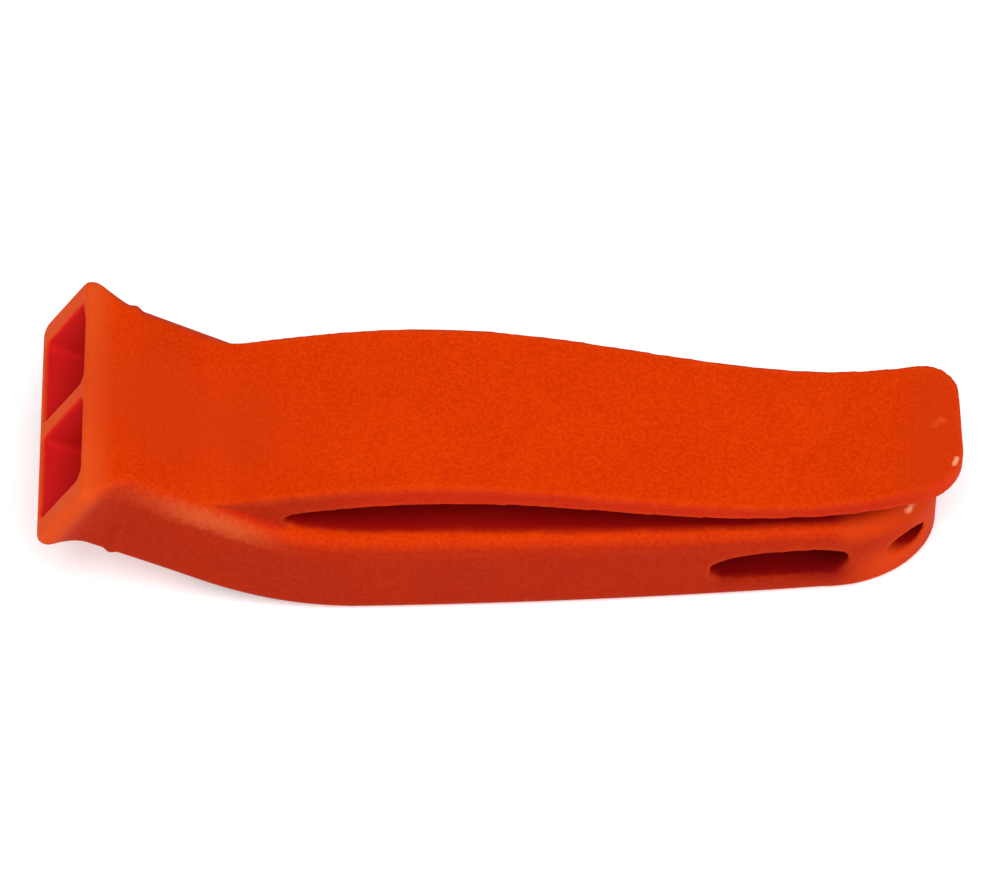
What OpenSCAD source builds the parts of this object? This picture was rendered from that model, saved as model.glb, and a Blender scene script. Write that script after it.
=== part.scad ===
// Two-tone pealess whistle with a spring clip, a cord slot and a tail hole.
// It lies on its flat back. X runs from the mouth to the tail, Z up to the clip.

/* [Overall] */
// Length from the mouth lip to the clip tip
whistle_len = 75; // [70:0.5:82]

/* [Body] */
// Width of the neck and of the body at the bend
neck_w = 19.6; // [18.5:0.1:21]
// Thickness of the neck and of the body at the bend
neck_t = 8.6; // [8:0.1:10]
// Width of the round tail
tail_w = 14.2; // [12:0.1:16]
// Length of the round end of the tail
tail_round_len = 9.4; // [7:0.1:10]
// Thickness of the body at the tail
tail_t = 7.6; // [7:0.1:8.4]
// How far each long side bows outwards between neck and tail
side_bow = 0.35; // [0:0.05:0.8]
// Radius of the long edges on the clip side
top_edge_r = 1.8; // [0.6:0.1:2.4]
// Radius of the long edges on the back
back_edge_r = 1; // [0.4:0.1:1.4]
// How far the clip reaches past the tail
clip_overhang = 1.5; // [1:0.1:4]

/* [Neck] */
// Tilt of the neck towards the clip side, in degrees
neck_tilt = 30; // [24:0.5:34]
// Straight length of the neck, mouthpiece included
neck_len = 14.5; // [13:0.1:17]
// Radius of the bend along the back
bend_r = 26; // [20:0.5:32]

/* [Mouthpiece] */
// Width of the lip
lip_w = 22.2; // [20.8:0.1:23]
// How far the lip drops below the back of the neck
lip_drop = 0.4; // [0.2:0.1:1]
// Height of the lip's clip side above the back line of the neck
lip_top = 7.9; // [7.6:0.1:9]
// Depth of the straight band behind the lip face
lip_land = 1; // [0.6:0.1:1.6]
// Radius of the edge round the lip face
lip_edge_r = 0.4; // [0.2:0.05:0.5]
// Corner radius of the lip seen from the front
lip_corner_r = 0.7; // [0.5:0.1:1.5]
// Length of the mouthpiece outside the neck
flange_len = 4.7; // [3.4:0.1:5]
// Length of the two sockets that plug into the neck
spigot_len = 3; // [2:0.1:4]

/* [Air ducts] */
// Width of one duct at the lip face
duct_mouth_w = 8.2; // [7:0.1:8.8]
// Height of one duct at the lip face
duct_mouth_h = 6; // [5:0.1:6.4]
// Height of the duct floor above the back line, at the lip face
duct_mouth_floor = 0.6; // [0.2:0.1:1.4]
// Wall of the sockets round the ducts
spigot_wall = 0.7; // [0.5:0.05:0.9]
// Width of one channel in the neck
channel_w = 7.5; // [6.8:0.1:7.7]
// Height of one channel in the neck
channel_h = 5.6; // [5:0.1:6]
// Wall between the channels and the back of the neck
channel_floor = 1.2; // [0.9:0.1:1.6]
// Thickness of the wall between left and right
divider_t = 1.7; // [1.2:0.1:2]
// Height of the windway slit
windway_h = 1.1; // [0.8:0.05:1.4]
// Length of the ramp that leads into the slit
windway_ramp = 2.8; // [1.5:0.1:4]
// Length of the lip between the end of the straight neck and the sound windows
window_lip = 0.3; // [0.1:0.05:0.4]
// Length of each sound window along the back
window_len = 4.2; // [3.4:0.1:5.4]

/* [Chambers] */
// End of the long chamber, short of the cord slot
chamber_end_gap = 1.3; // [1:0.1:2]
// How much shorter the right chamber is
chamber_step = 5.5; // [3:0.5:8]
// Side wall of the chambers
side_wall = 1.45; // [1.3:0.05:1.8]
// Wall between the chambers and the clip side
roof_t = 1.4; // [1.1:0.1:1.8]

/* [Back cover] */
// Thickness of the welded back cover
cover_t = 1.3; // [1:0.1:1.5]
// Width of the body's rim round the cover
cover_rim = 0.85; // [0.7:0.05:1.1]
// Lap of the cover past the end of the long chamber
cover_lap = 0.7; // [0.4:0.1:1.1]
// Thickness of the sounding edge
edge_t = 0.25; // [0.15:0.05:0.4]
// Length of the ramp behind the sounding edge
edge_ramp = 3.2; // [2:0.1:4.5]

/* [Clip] */
// Width of the clip at its root
clip_root_w = 16.4; // [14:0.1:17.5]
// Width of the clip at its tip
clip_tip_w = 12; // [10:0.1:14]
// How far each side of the clip bows outwards
clip_bow = 0.65; // [0:0.05:1]
// Thickness of the clip at its root
clip_root_t = 2.4; // [2:0.1:2.8]
// Thickness of the clip at its low point
clip_low_t = 1.4; // [1.2:0.1:2]
// Thickness of the clip at its tip
clip_tip_t = 1.9; // [1.2:0.1:2.2]
// Height of the crest above the back
crest_z = 14.8; // [14.4:0.1:16.5]
// Height of the low point above the back
low_z = 11.3; // [11:0.1:12.4]
// Height of the tip above the back
tip_z = 14.1; // [13:0.1:16]
// Distance from the lip end to the clip's root dip
dip_from_lip = 14.6; // [13.5:0.1:16]
// Length of the solid web under the clip's root
root_web = 5.3; // [4.5:0.1:7]
// Distance from the lip end to the crest
crest_from_lip = 32.5; // [30:0.5:35]
// Distance from the clip tip back to its low point
low_from_tip = 12.8; // [11:0.1:15]
// Corner radius of the tip
tip_corner_r = 3.3; // [1.5:0.1:4.5]
// Half length of the blend between neck and clip
dip_blend = 2.2; // [1:0.1:2.8]
// Gap of the flexing line at the root
flex_gap = 0.2; // [0.15:0.05:0.3]

/* [Cord slot and tail hole] */
// Length of the cord slot
slot_len = 11.3; // [9:0.1:12]
// Height of the cord slot
slot_h = 3.4; // [3:0.1:4]
// Height of the middle of the slot above the back
slot_z = 3.85; // [3.4:0.1:4]
// Distance from the tail end to the middle of the slot
slot_from_tail = 13.1; // [12.6:0.05:14]
// Diameter of the tail hole
hole_d = 3; // [2:0.1:3.2]
// Height of the tail hole above the back
hole_z = 3.8; // [3.2:0.1:4.2]
// Distance from the tail end to the tail hole
hole_from_tail = 2.7; // [2.6:0.1:3.2]

/* [Fit] */
// Clearance between pieces that are pressed or welded together
seat_gap = 0.04; // [0.02:0.01:0.08]

/* [Hidden] */

// How far a cut runs past the face that it opens
overrun = 0.5;
// Steps of curved stretches
corner_steps = 4;
bend_steps = 6;
body_steps = 8;
tail_steps = 7;
flare_steps = 5;
clip_steps = 40;
blend_steps = 5;

shell_color = "orangered";
inner_color = "tomato";

// Ends of the whistle
lip_x = -whistle_len / 2;
tip_x = whistle_len / 2;
tail_x = tip_x - clip_overhang;

// The back line: straight neck, bend, flat back. Its start lies where the lip ends.
face_x = lip_x + lip_drop * sin(neck_tilt) - lip_edge_r * (sin(neck_tilt) + cos(neck_tilt) - 1);
flat_x = face_x + neck_len * cos(neck_tilt) + bend_r * sin(neck_tilt);
face_z = bend_r * (1 - cos(neck_tilt)) + neck_len * sin(neck_tilt);
bend_len = bend_r * neck_tilt * PI / 180;
face_s = -bend_len - neck_len;

// Along the body
tail_round_x = tail_x - tail_round_len;
taper_x = flat_x - bend_r * sin(neck_tilt) / 2;
slot_x = tail_x - slot_from_tail;
hole_x = tail_x - hole_from_tail;
chamber_x = slot_x - slot_len / 2 - chamber_end_gap;
short_chamber_x = chamber_x - chamber_step;
cover_end_x = chamber_x + cover_lap;
window_s = window_lip - bend_len;
edge_s = window_s + window_len;

// Along the clip
dip_x = lip_x + dip_from_lip;
crest_x = lip_x + crest_from_lip;
low_x = tip_x - low_from_tip;
root_x = dip_x + root_web;
dip_z = neck_top_z(dip_x);

function lerp(a, b, u) = a + (b - a) * u;

// A point of the body: s along the back line, y across, n outwards from the back line
function place(s, y, n) =
    s >= 0 ? [flat_x + s, y, n]
    : s >= -bend_len ? let (turn = -s / bend_len * neck_tilt)
        [flat_x - (bend_r - n) * sin(turn), y, bend_r - (bend_r - n) * cos(turn)]
    : let (run = -s - bend_len)
        [flat_x - (bend_r - n) * sin(neck_tilt) - run * cos(neck_tilt), y,
            bend_r - (bend_r - n) * cos(neck_tilt) + run * sin(neck_tilt)];

// Height of the neck's clip side at x
function neck_top_z(x) =
    let (start = place(-bend_len, 0, neck_t))
    start[2] + (start[0] - x) * tan(neck_tilt);

// Half width of the body at x
function half_w(x) =
    x <= taper_x ? neck_w / 2
    : x <= tail_round_x ? let (u = (x - taper_x) / (tail_round_x - taper_x))
        lerp(neck_w, tail_w, u) / 2 + side_bow * 4 * u * (1 - u)
    : tail_w / 2 * sqrt(max(0, 1 - pow((x - tail_round_x) / tail_round_len, 2)));

// Thickness of the body at x
function body_t(x) =
    x <= flat_x ? neck_t
    : lerp(neck_t, tail_t, min(1, (x - flat_x) / (tail_round_x - flat_x)));

// Rounded rectangle in y and n, as a ring of points
function ring(w, low, high, low_r, high_r) =
    let (corners = [
        [w - low_r, low + low_r, low_r, -90],
        [w - high_r, high - high_r, high_r, 0],
        [high_r - w, high - high_r, high_r, 90],
        [low_r - w, low + low_r, low_r, 180]])
    [for (c = corners, i = [0 : corner_steps])
        let (a = c[3] + 90 * i / corner_steps)
        [c[0] + c[2] * cos(a), c[1] + c[2] * sin(a)]];

// A ring set square to the back line at s
function ring_at(s, points) = [for (p = points) place(s, p[0], p[1])];

// Skin over a list of rings that all have the same number of points
module skin(rings) {
    count = len(rings[0]);
    last = len(rings) - 1;
    faces = concat(
        [[for (i = [0 : count - 1]) i]],
        [[for (i = [count - 1 : -1 : 0]) last * count + i]],
        [for (r = [0 : last - 1], i = [0 : count - 1])
            [r * count + i, (r + 1) * count + i, r * count + (i + 1) % count]],
        [for (r = [0 : last - 1], i = [0 : count - 1])
            [r * count + (i + 1) % count, (r + 1) * count + i, (r + 1) * count + (i + 1) % count]]);
    polyhedron(points = [for (r = rings, p = r) p], faces = faces, convexity = 6);
}

// Cross-section of the body at s, with its thickness and width at that place
function body_ring(s) =
    let (x = place(s, 0, 0)[0], w = half_w(x), t = body_t(x))
    ring_at(s, ring(w, 0, t, min(back_edge_r, w / 2), min(top_edge_r, w / 2)));

// The last ring closes the tail inside its rounded edges
function tail_cap() =
    let (w = half_w(tail_x - back_edge_r / 4) / 2)
    ring_at(tail_x - flat_x, ring(w, back_edge_r, tail_t - top_edge_r, w / 4, w / 4));

module body_skin() {
    seam_s = face_s + flange_len;
    body_run = tail_round_x - flat_x;
    skin(concat(
        [body_ring(seam_s)],
        [for (i = [0 : bend_steps]) body_ring(-bend_len * (1 - i / bend_steps))],
        [for (i = [1 : body_steps]) body_ring(body_run * i / body_steps)],
        [for (i = [1 : tail_steps - 1])
            body_ring(body_run + tail_round_len * sin(90 * i / tail_steps))],
        [tail_cap()]));
}

// Frame of the lip face: x runs into the neck, z towards the clip side
module at_face() {
    translate([face_x, 0, face_z]) rotate([0, neck_tilt, 0]) children();
}

// Box in that frame, between two corners
module box(low, high) {
    translate(low) cube([for (i = [0 : 2]) high[i] - low[i]]);
}

// Side profile in x and z, drawn across the whole width between two y
module across(y_low, y_high) {
    translate([0, y_high, 0]) rotate([90, 0, 0]) linear_extrude(height = y_high - y_low) children();
}

// Profile between two heights over the back line, from s_start to s_end
module band(s_start, s_end, low, high_inset) {
    steps = bend_steps + body_steps;
    list = [for (i = [0 : steps]) lerp(s_start, s_end, i / steps)];
    under = [for (s = list) place(s, 0, low)];
    over = [for (i = [steps : -1 : 0])
        place(list[i], 0, body_t(place(list[i], 0, 0)[0]) - high_inset)];
    polygon([for (p = concat(under, over)) [p[0], p[2]]]);
}

// Plan of the body drawn in by a wall, between two x
module plan(x_start, x_end, wall, height) {
    list = [for (i = [0 : body_steps]) lerp(x_start, x_end, i / body_steps)];
    side = [for (x = list) [x, half_w(x) - wall]];
    other = [for (i = [body_steps : -1 : 0]) [list[i], wall - half_w(list[i])]];
    translate([0, 0, -overrun]) linear_extrude(height = height) polygon(concat(side, other));
}

// One chamber, open at the back: the cover closes it up to the sound window
module chamber(side, end_x) {
    inner_y = divider_t / 2;
    start_x = place(window_s, 0, 0)[0] - overrun;
    intersection() {
        across(min(side * inner_y, side * neck_w), max(side * inner_y, side * neck_w))
            band(window_s, tail_round_x - flat_x, -overrun, roof_t);
        plan(start_x, end_x, side_wall, crest_z);
    }
}

// Seat of the back cover, with the cover's clearance round it
module cover_seat() {
    intersection() {
        across(-neck_w, neck_w)
            cover_profile(-overrun, seat_gap);
        plan(place(edge_s, 0, 0)[0] - overrun, cover_end_x + seat_gap, cover_rim, crest_z);
    }
}

// Side profile of the cover: low is its lower face, grow widens it for the seat
module cover_profile(low, grow) {
    steps = bend_steps + body_steps;
    end_s = cover_end_x - flat_x + grow;
    list = [for (i = [0 : steps]) lerp(edge_s - grow, end_s, i / steps)];
    under = [for (s = list) place(s, 0, low)];
    over = [for (i = [steps : -1 : 0]) place(list[i], 0, cover_t + grow)];
    polygon([for (p = concat(under, over)) [p[0], p[2]]]);
}

// One channel of the neck, from the mouthpiece seam to the chamber
module channel(side) {
    y_mid = side * (divider_t + channel_w) / 2;
    at_face() box(
        [flange_len - overrun, y_mid - channel_w / 2, channel_floor],
        [neck_len + overrun, y_mid + channel_w / 2, channel_floor + channel_h]);
}

// Cord slot through both sides
module cord_slot() {
    reach = neck_w + overrun;
    round_r = slot_h / 2;
    half_run = slot_len / 2 - round_r;
    for (side = [-1, 1])
        translate([slot_x + side * half_run, reach / 2, slot_z])
            rotate([90, 0, 0]) cylinder(r = round_r, h = reach, $fn = 48);
    box([slot_x - half_run, -reach / 2, slot_z - round_r], [slot_x + half_run, reach / 2, slot_z + round_r]);
}

// Hole through the tail for a thin line or a ring
module tail_hole() {
    reach = tail_w + overrun;
    translate([hole_x, reach / 2, hole_z]) rotate([90, 0, 0]) cylinder(d = hole_d, h = reach, $fn = 48);
}

// Height of the clip's upper face at x
function clip_top(x) =
    x < crest_x ? dip_z + (crest_z - dip_z) * sin(90 * (x - dip_x) / (crest_x - dip_x))
    : x < low_x ? lerp(crest_z, low_z, (1 - cos(180 * (x - crest_x) / (low_x - crest_x))) / 2)
    : lerp(low_z, tip_z, 1 - cos(90 * (x - low_x) / (tip_x - low_x)));

// Thickness of the clip at x
function clip_t(x) =
    x < low_x ? lerp(clip_root_t, clip_low_t, (x - root_x) / (low_x - root_x))
    : lerp(clip_low_t, clip_tip_t, (x - low_x) / (tip_x - low_x));

// Half width of the clip at x
function clip_half_w(x) =
    let (u = (x - root_x) / (tip_x - root_x))
    lerp(clip_root_w, clip_tip_w, u) / 2 + clip_bow * 4 * u * (1 - u);

// Web between the neck and the clip, moulded with the body
module clip_root() {
    from = [dip_x - dip_blend, neck_top_z(dip_x - dip_blend)];
    mid = [dip_x, dip_z];
    to = [dip_x + dip_blend, clip_top(dip_x + dip_blend)];
    blend = [for (i = [0 : blend_steps]) let (u = i / blend_steps)
        from * pow(1 - u, 2) + mid * (2 * u * (1 - u)) + to * pow(u, 2)];
    rest = [for (i = [1 : blend_steps])
        let (x = lerp(dip_x + dip_blend, root_x, i / blend_steps)) [x, clip_top(x)]];
    sunk = roof_t / 2;
    base = place(-bend_len / 2, 0, neck_t - sunk);
    start = [from[0] - sunk * sin(neck_tilt), from[1] - sunk * cos(neck_tilt)];
    across(-clip_root_w / 2, clip_root_w / 2)
        polygon(concat(blend, rest, [[root_x, foot_z()], [base[0], base[2]], start]));
}

// Height of the body's clip side under the clip's root face, a little inside the wall
function foot_z() =
    let (inner = bend_r - neck_t + roof_t / 2)
    bend_r - sqrt(pow(inner, 2) - pow(flat_x - root_x, 2));

module body_shell() {
    color(shell_color)
    difference() {
        union() {
            body_skin();
            clip_root();
        }
        for (side = [-1, 1]) channel(side);
        chamber(1, chamber_x);
        chamber(-1, short_chamber_x);
        cover_seat();
        cord_slot();
        tail_hole();
    }
}

// Section of the mouthpiece, a past the face, swollen by the flare share
function flange_ring(a, share, inset) =
    ring_at(face_s + a, ring(
        lerp(neck_w, lip_w, share) / 2 - inset,
        inset - lip_drop * share,
        lerp(neck_t, lip_top, share) - inset,
        lerp(back_edge_r, lip_corner_r, share) - inset / 2,
        lerp(top_edge_r, lip_corner_r, share) - inset / 2));

// Open passage of one duct, from the lip face to the end of its socket
module duct(side) {
    y_mouth = side * (divider_t + duct_mouth_w) / 2;
    y_in = side * (divider_t + channel_w) / 2;
    half_in = channel_w / 2 - spigot_wall;
    floor_in = channel_floor + spigot_wall;
    top_in = channel_floor + channel_h - spigot_wall;
    top_mouth = duct_mouth_floor + duct_mouth_h;
    end_a = flange_len + spigot_len;
    slope_share = overrun / end_a;
    at_face() skin([for (u = [-slope_share, 1 + slope_share])
        let (y = lerp(y_mouth, y_in, u), half = lerp(duct_mouth_w / 2, half_in, u),
            low = lerp(duct_mouth_floor, floor_in, u), high = lerp(top_mouth, top_in, u), a = end_a * u)
        [[a, y + half, low], [a, y + half, high], [a, y - half, high], [a, y - half, low]]]);
}

module mouthpiece() {
    color(shell_color)
    difference() {
        union() {
            skin(concat(
                [for (turn = [0, 45, 90])
                    flange_ring(lip_edge_r * (1 - cos(turn)), 1, lip_edge_r * (1 - sin(turn)))],
                [for (i = [0 : flare_steps]) let (u = i / flare_steps)
                    flange_ring(lerp(lip_land, flange_len - seat_gap, u), 1 - sin(90 * u), 0)]));
            for (side = [-1, 1]) {
                y_mid = side * (divider_t + channel_w) / 2;
                half = channel_w / 2 - seat_gap;
                at_face() box(
                    [flange_len / 2, y_mid - half, channel_floor + seat_gap],
                    [flange_len + spigot_len, y_mid + half, channel_floor + channel_h - seat_gap]);
            }
        }
        for (side = [-1, 1]) duct(side);
    }
}

// Block that fills the channel's clip side and leaves the windway slit under it
module windway_block(side) {
    y_mid = side * (divider_t + channel_w) / 2;
    half = channel_w / 2 - seat_gap;
    start = flange_len + spigot_len + seat_gap;
    slit = channel_floor + windway_h;
    roof = channel_floor + channel_h - seat_gap;
    color(inner_color)
    at_face() across(y_mid - half, y_mid + half)
        polygon([[start, roof - spigot_wall], [start + windway_ramp, slit], [neck_len, slit],
            [neck_len, roof], [start, roof]]);
}

// Welded cover that closes both chambers and carries the sounding edges
module back_cover() {
    color(shell_color)
    intersection() {
        difference() {
            across(-neck_w, neck_w) cover_profile(0, 0);
            across(-neck_w, neck_w)
                polygon([for (p = [place(edge_s - overrun, 0, -overrun), place(edge_s + edge_ramp, 0, 0),
                    place(edge_s, 0, cover_t - edge_t), place(edge_s - overrun, 0, cover_t - edge_t)])
                    [p[0], p[2]]]);
        }
        plan(place(edge_s, 0, 0)[0] - overrun, cover_end_x, cover_rim + seat_gap, crest_z);
    }
}

// Flexing blade, from the line beside its root web to its tip
module spring_clip() {
    start_x = root_x + flex_gap;
    list = [for (i = [0 : clip_steps]) lerp(start_x, tip_x, i / clip_steps)];
    over = [for (x = list) [x, clip_top(x)]];
    under = [for (i = [clip_steps : -1 : 0]) [list[i], clip_top(list[i]) - clip_t(list[i])]];
    corner_x = tip_x - tip_corner_r;
    corner_y = clip_half_w(tip_x) - tip_corner_r;
    side = concat(
        [for (i = [0 : body_steps]) let (x = lerp(start_x, corner_x, i / body_steps)) [x, clip_half_w(x)]],
        [for (i = [1 : tail_steps]) let (a = 90 - 90 * i / tail_steps)
            [corner_x + tip_corner_r * cos(a), corner_y + tip_corner_r * sin(a)]]);
    mirrored = [for (i = [len(side) - 1 : -1 : 0]) [side[i][0], -side[i][1]]];
    color(shell_color)
    intersection() {
        across(-neck_w, neck_w) polygon(concat(over, under));
        linear_extrude(height = crest_z + overrun) polygon(concat(side, mirrored));
    }
}

body_shell();
mouthpiece();
windway_block(1);  // windway_block_left
windway_block(-1);  // windway_block_right
back_cover();
spring_clip();
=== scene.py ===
# %% [markdown]
# A pealess whistle with a spring clip
#
# The real whistle is a handful of orange mouldings: a body with a tilted neck, a mouthpiece
# pressed into it, a welded cover on the flat back, two small blocks in the air ducts and a
# long clip that grows out of the neck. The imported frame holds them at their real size, with
# plain edges. This lesson builds the moulded skins over them: rounded edges, soft corners
# where walls meet, and a satin plastic with grain and wear.

# %% Load the frame
import math

import bmesh
import bpy
import numpy as np
from mathutils import Matrix, Vector
from mathutils.bvhtree import BVHTree


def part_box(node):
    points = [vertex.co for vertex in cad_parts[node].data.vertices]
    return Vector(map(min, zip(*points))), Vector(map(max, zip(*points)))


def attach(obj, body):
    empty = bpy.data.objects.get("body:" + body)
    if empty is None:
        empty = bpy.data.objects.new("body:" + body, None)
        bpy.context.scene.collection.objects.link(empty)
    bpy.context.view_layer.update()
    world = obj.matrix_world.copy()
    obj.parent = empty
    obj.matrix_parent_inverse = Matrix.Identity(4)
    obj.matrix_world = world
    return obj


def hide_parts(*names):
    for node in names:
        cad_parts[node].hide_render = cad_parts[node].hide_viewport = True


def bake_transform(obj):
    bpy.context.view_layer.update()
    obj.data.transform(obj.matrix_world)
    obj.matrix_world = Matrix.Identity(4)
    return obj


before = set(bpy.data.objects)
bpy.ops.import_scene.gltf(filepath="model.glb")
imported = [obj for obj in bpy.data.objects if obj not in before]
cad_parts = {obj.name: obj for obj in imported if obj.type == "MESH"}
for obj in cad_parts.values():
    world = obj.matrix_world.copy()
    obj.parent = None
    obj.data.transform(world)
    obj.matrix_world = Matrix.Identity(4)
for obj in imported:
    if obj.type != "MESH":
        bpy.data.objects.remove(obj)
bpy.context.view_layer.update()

# %% [markdown]
# The camera comes first, because every other choice depends on the view. The
# whistle is seen from above its near side with a long lens, so its lines hardly converge.
# A camera can be aimed with a constraint, but three axes written down once are exact.

# %% Aim the camera
MM = 0.001
SENSOR_MM = 36
PHOTO_WIDTH_PX = 1000
PX_PER_MM = 12.2
CAMERA_MM = 800
AIM_Z_MM = 7.5
AIM_UP_MM = 1.6
OFF_VERTICAL = math.radians(37.5)
ROLL = math.radians(1)
CLIP_RANGE = (0.05, 20)

back = Vector((-math.sin(ROLL) * math.cos(OFF_VERTICAL), -math.sin(OFF_VERTICAL),
               math.cos(ROLL) * math.cos(OFF_VERTICAL)))
right = Vector((math.cos(ROLL), 0, math.sin(ROLL)))
up = back.cross(right)
aim = Vector((0, 0, AIM_Z_MM)) + up * AIM_UP_MM

camera = bpy.data.objects.new("camera", bpy.data.cameras.new("camera"))
bpy.context.scene.collection.objects.link(camera)
camera.matrix_world = Matrix.Translation((aim + back * CAMERA_MM) * MM) @ Matrix(
    (right, up, back)).transposed().to_4x4()
camera.data.sensor_width = SENSOR_MM
camera.data.lens = SENSOR_MM * PX_PER_MM * CAMERA_MM / PHOTO_WIDTH_PX
camera.data.clip_start, camera.data.clip_end = CLIP_RANGE
bpy.context.scene.camera = camera
print("lens in mm:", round(camera.data.lens, 1))

# %% [markdown]
# The whistle lies on white paper. A plain diffuse floor would turn grey where the light falls
# off, so the paper also glows a little. That keeps it white, and it lights the plastic from
# below, as a bright table does.

# %% Floor
FLOOR_SIZE = 6.0
PAPER_COLOUR = (0.94, 0.94, 0.94, 1)
PAPER_ROUGHNESS = 0.9
PAPER_SHEEN = 0.1
PAPER_GLOW = 0.2
bm = bmesh.new()
bmesh.ops.create_grid(bm, x_segments=1, y_segments=1, size=FLOOR_SIZE / 2)
floor = bpy.data.objects.new("floor", bpy.data.meshes.new("floor"))
bm.to_mesh(floor.data)
bm.free()
bpy.context.scene.collection.objects.link(floor)

paper = bpy.data.materials.new("white_paper")
paper.use_nodes = True
paper_shader = paper.node_tree.nodes["Principled BSDF"]
paper_shader.inputs["Base Color"].default_value = PAPER_COLOUR
paper_shader.inputs["Roughness"].default_value = PAPER_ROUGHNESS
paper_shader.inputs["Specular IOR Level"].default_value = PAPER_SHEEN
paper_shader.inputs["Emission Color"].default_value = (1, 1, 1, 1)
paper_shader.inputs["Emission Strength"].default_value = PAPER_GLOW
floor.data.materials.append(paper)
print("floor of", FLOOR_SIZE, "m on a side")

# %% [markdown]
# The photograph has the flat light of a product table: a wide soft source above the camera and
# weaker ones on the left, on the right and on the far side. The front light reaches under the
# clip, so the gap stays a thin dark line. Area lights of half a metre are wide enough for a
# thing of 75 mm. The surrounding is dim, so the satin plastic doesn't mirror a white room and
# keeps its strong colour. The plain view transform shows such a colour as it is.

# %% Lights
LIGHT_SIZE = 0.5
LIGHTS = {
    "front_top": ((0.0, -0.40, 0.69), 5.55),
    "left_side": ((-0.7, 0.0, 0.35), 2.6),
    "right_side": ((0.66, -0.2, 0.32), 3.2),
    "far_side": ((0.0, 0.72, 0.27), 1.3),
}
SURROUNDING = 0.08


def soft_light(name, place, watts):
    """Square area light that looks at the whistle."""
    light = bpy.data.objects.new(name, bpy.data.lights.new(name, "AREA"))
    light.data.size = LIGHT_SIZE
    light.data.energy = watts
    light.location = place
    light.rotation_euler = (-Vector(place)).to_track_quat("-Z", "Y").to_euler()
    bpy.context.scene.collection.objects.link(light)


for name, (place, watts) in LIGHTS.items():
    soft_light(name, place, watts)

world = bpy.data.worlds.new("studio")
world.use_nodes = True
world.node_tree.nodes["Background"].inputs["Color"].default_value = (1, 1, 1, 1)
world.node_tree.nodes["Background"].inputs["Strength"].default_value = SURROUNDING
bpy.context.scene.world = world
bpy.context.scene.view_settings.view_transform = "Standard"
print("lights in watts:", {name: watts for name, (place, watts) in LIGHTS.items()})

# %% [markdown]
# The body is described along its back line: straight on the neck, round the bend, then flat
# to the tail. A point is given by s along that line, y across and n outwards from it, and one
# function bends such a straight bar into the real place. All modelling is done in millimetres,
# where the mesh operators work well, and turned into metres at the end.

# %% The back line
FACE_X = -37.446
NECK_TILT = math.radians(30)
NECK_LEN = 14.5
BEND_R = 26.0
FLANGE_LEN = 4.7

BEND_LEN = BEND_R * NECK_TILT
FLAT_X = FACE_X + NECK_LEN * math.cos(NECK_TILT) + BEND_R * math.sin(NECK_TILT)
FACE_S = -BEND_LEN - NECK_LEN
SEAM_S = FACE_S + FLANGE_LEN


def clamped(value):
    """The value, kept between 0 and 1."""
    return min(1, max(0, value))


def place(s, y, n):
    """Real place of a point of the straight bar."""
    if s >= 0:
        return Vector((FLAT_X + s, y, n))
    turn = min(-s / BEND_R, NECK_TILT)
    run = max(0, -s - BEND_LEN)
    x = FLAT_X - (BEND_R - n) * math.sin(turn) - run * math.cos(turn)
    return Vector((x, y, BEND_R - (BEND_R - n) * math.cos(turn) + run * math.sin(turn)))


def x_at(s):
    """Where along the whistle the place s of the back line lies."""
    return place(s, 0, 0).x


print("bend runs from s =", round(-BEND_LEN, 2), "to 0; the flat starts at x =", round(FLAT_X, 2))

# %% [markdown]
# Seen from above, the body keeps its width along the neck, tapers with a slight bow and ends
# in a round tail that is nearly an ellipse. It also gets a little thinner towards the tail. The
# width of the neck and the end of the tail come from the frame. The direction that points out
# of the side is needed too, because the long edges are later drawn in along it.

# %% Width and thickness of the body
TAIL_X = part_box("body_shell")[1].x / MM
NECK_W = 2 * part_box("body_shell")[1].y / MM
NECK_T = 8.6
TAIL_T = 7.6
TAIL_W = 14.2
TAIL_ROUND = 9.4
SIDE_BOW = 0.45
TAIL_POWER = 0.56

ROUND_X = TAIL_X - TAIL_ROUND
TAPER_X = FLAT_X - BEND_R * math.sin(NECK_TILT) / 2


def half_width(x):
    """Half width of the body at x: neck, taper with a slight bow, round tail."""
    if x <= TAPER_X:
        return NECK_W / 2
    if x <= ROUND_X:
        u = (x - TAPER_X) / (ROUND_X - TAPER_X)
        return (NECK_W + (TAIL_W - NECK_W) * u) / 2 + SIDE_BOW * 4 * u * (1 - u)
    return TAIL_W / 2 * max(0, 1 - ((x - ROUND_X) / TAIL_ROUND) ** 2) ** TAIL_POWER


def side_way(x):
    """Direction in plan that points out of the body's side at x."""
    if x <= TAPER_X:
        return Vector((0, 1))
    if x <= ROUND_X:
        run = ROUND_X - TAPER_X
        bow = SIDE_BOW * 4 * (1 - 2 * (x - TAPER_X) / run)
        return Vector((((NECK_W - TAIL_W) / 2 - bow) / run, 1)).normalized()
    u = min(1, (x - ROUND_X) / TAIL_ROUND)
    fall = TAIL_W * TAIL_POWER * u / TAIL_ROUND
    return Vector((fall, (1 - u * u) ** (1 - TAIL_POWER))).normalized()


def thickness(x):
    """Thickness of the body at x."""
    u = clamped((x - FLAT_X) / (ROUND_X - FLAT_X))
    return NECK_T + (TAIL_T - NECK_T) * u


print("neck width", round(NECK_W, 2), "and round tail from x =", round(ROUND_X, 2))

# %% [markdown]
# Nearly every piece here is a plank: a strip of quads that follows an outline, pulled up to a
# thickness, with its long edges beveled. One edge is extruded from station to station, so the
# outline is a function and not a list of points. The helpers below make a plank, bevel the
# edges that a rule picks, and move its points into the real shape.

# %% Helpers for planks
SHARP_TURN = 0.7


def steps(start, end, count):
    """Evenly spaced stations, both ends included."""
    return [start + (end - start) * i / count for i in range(count + 1)]


def only(kind, geometry):
    """The points or edges among what an operator gives back."""
    return [g for g in geometry if isinstance(g, kind)]


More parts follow.
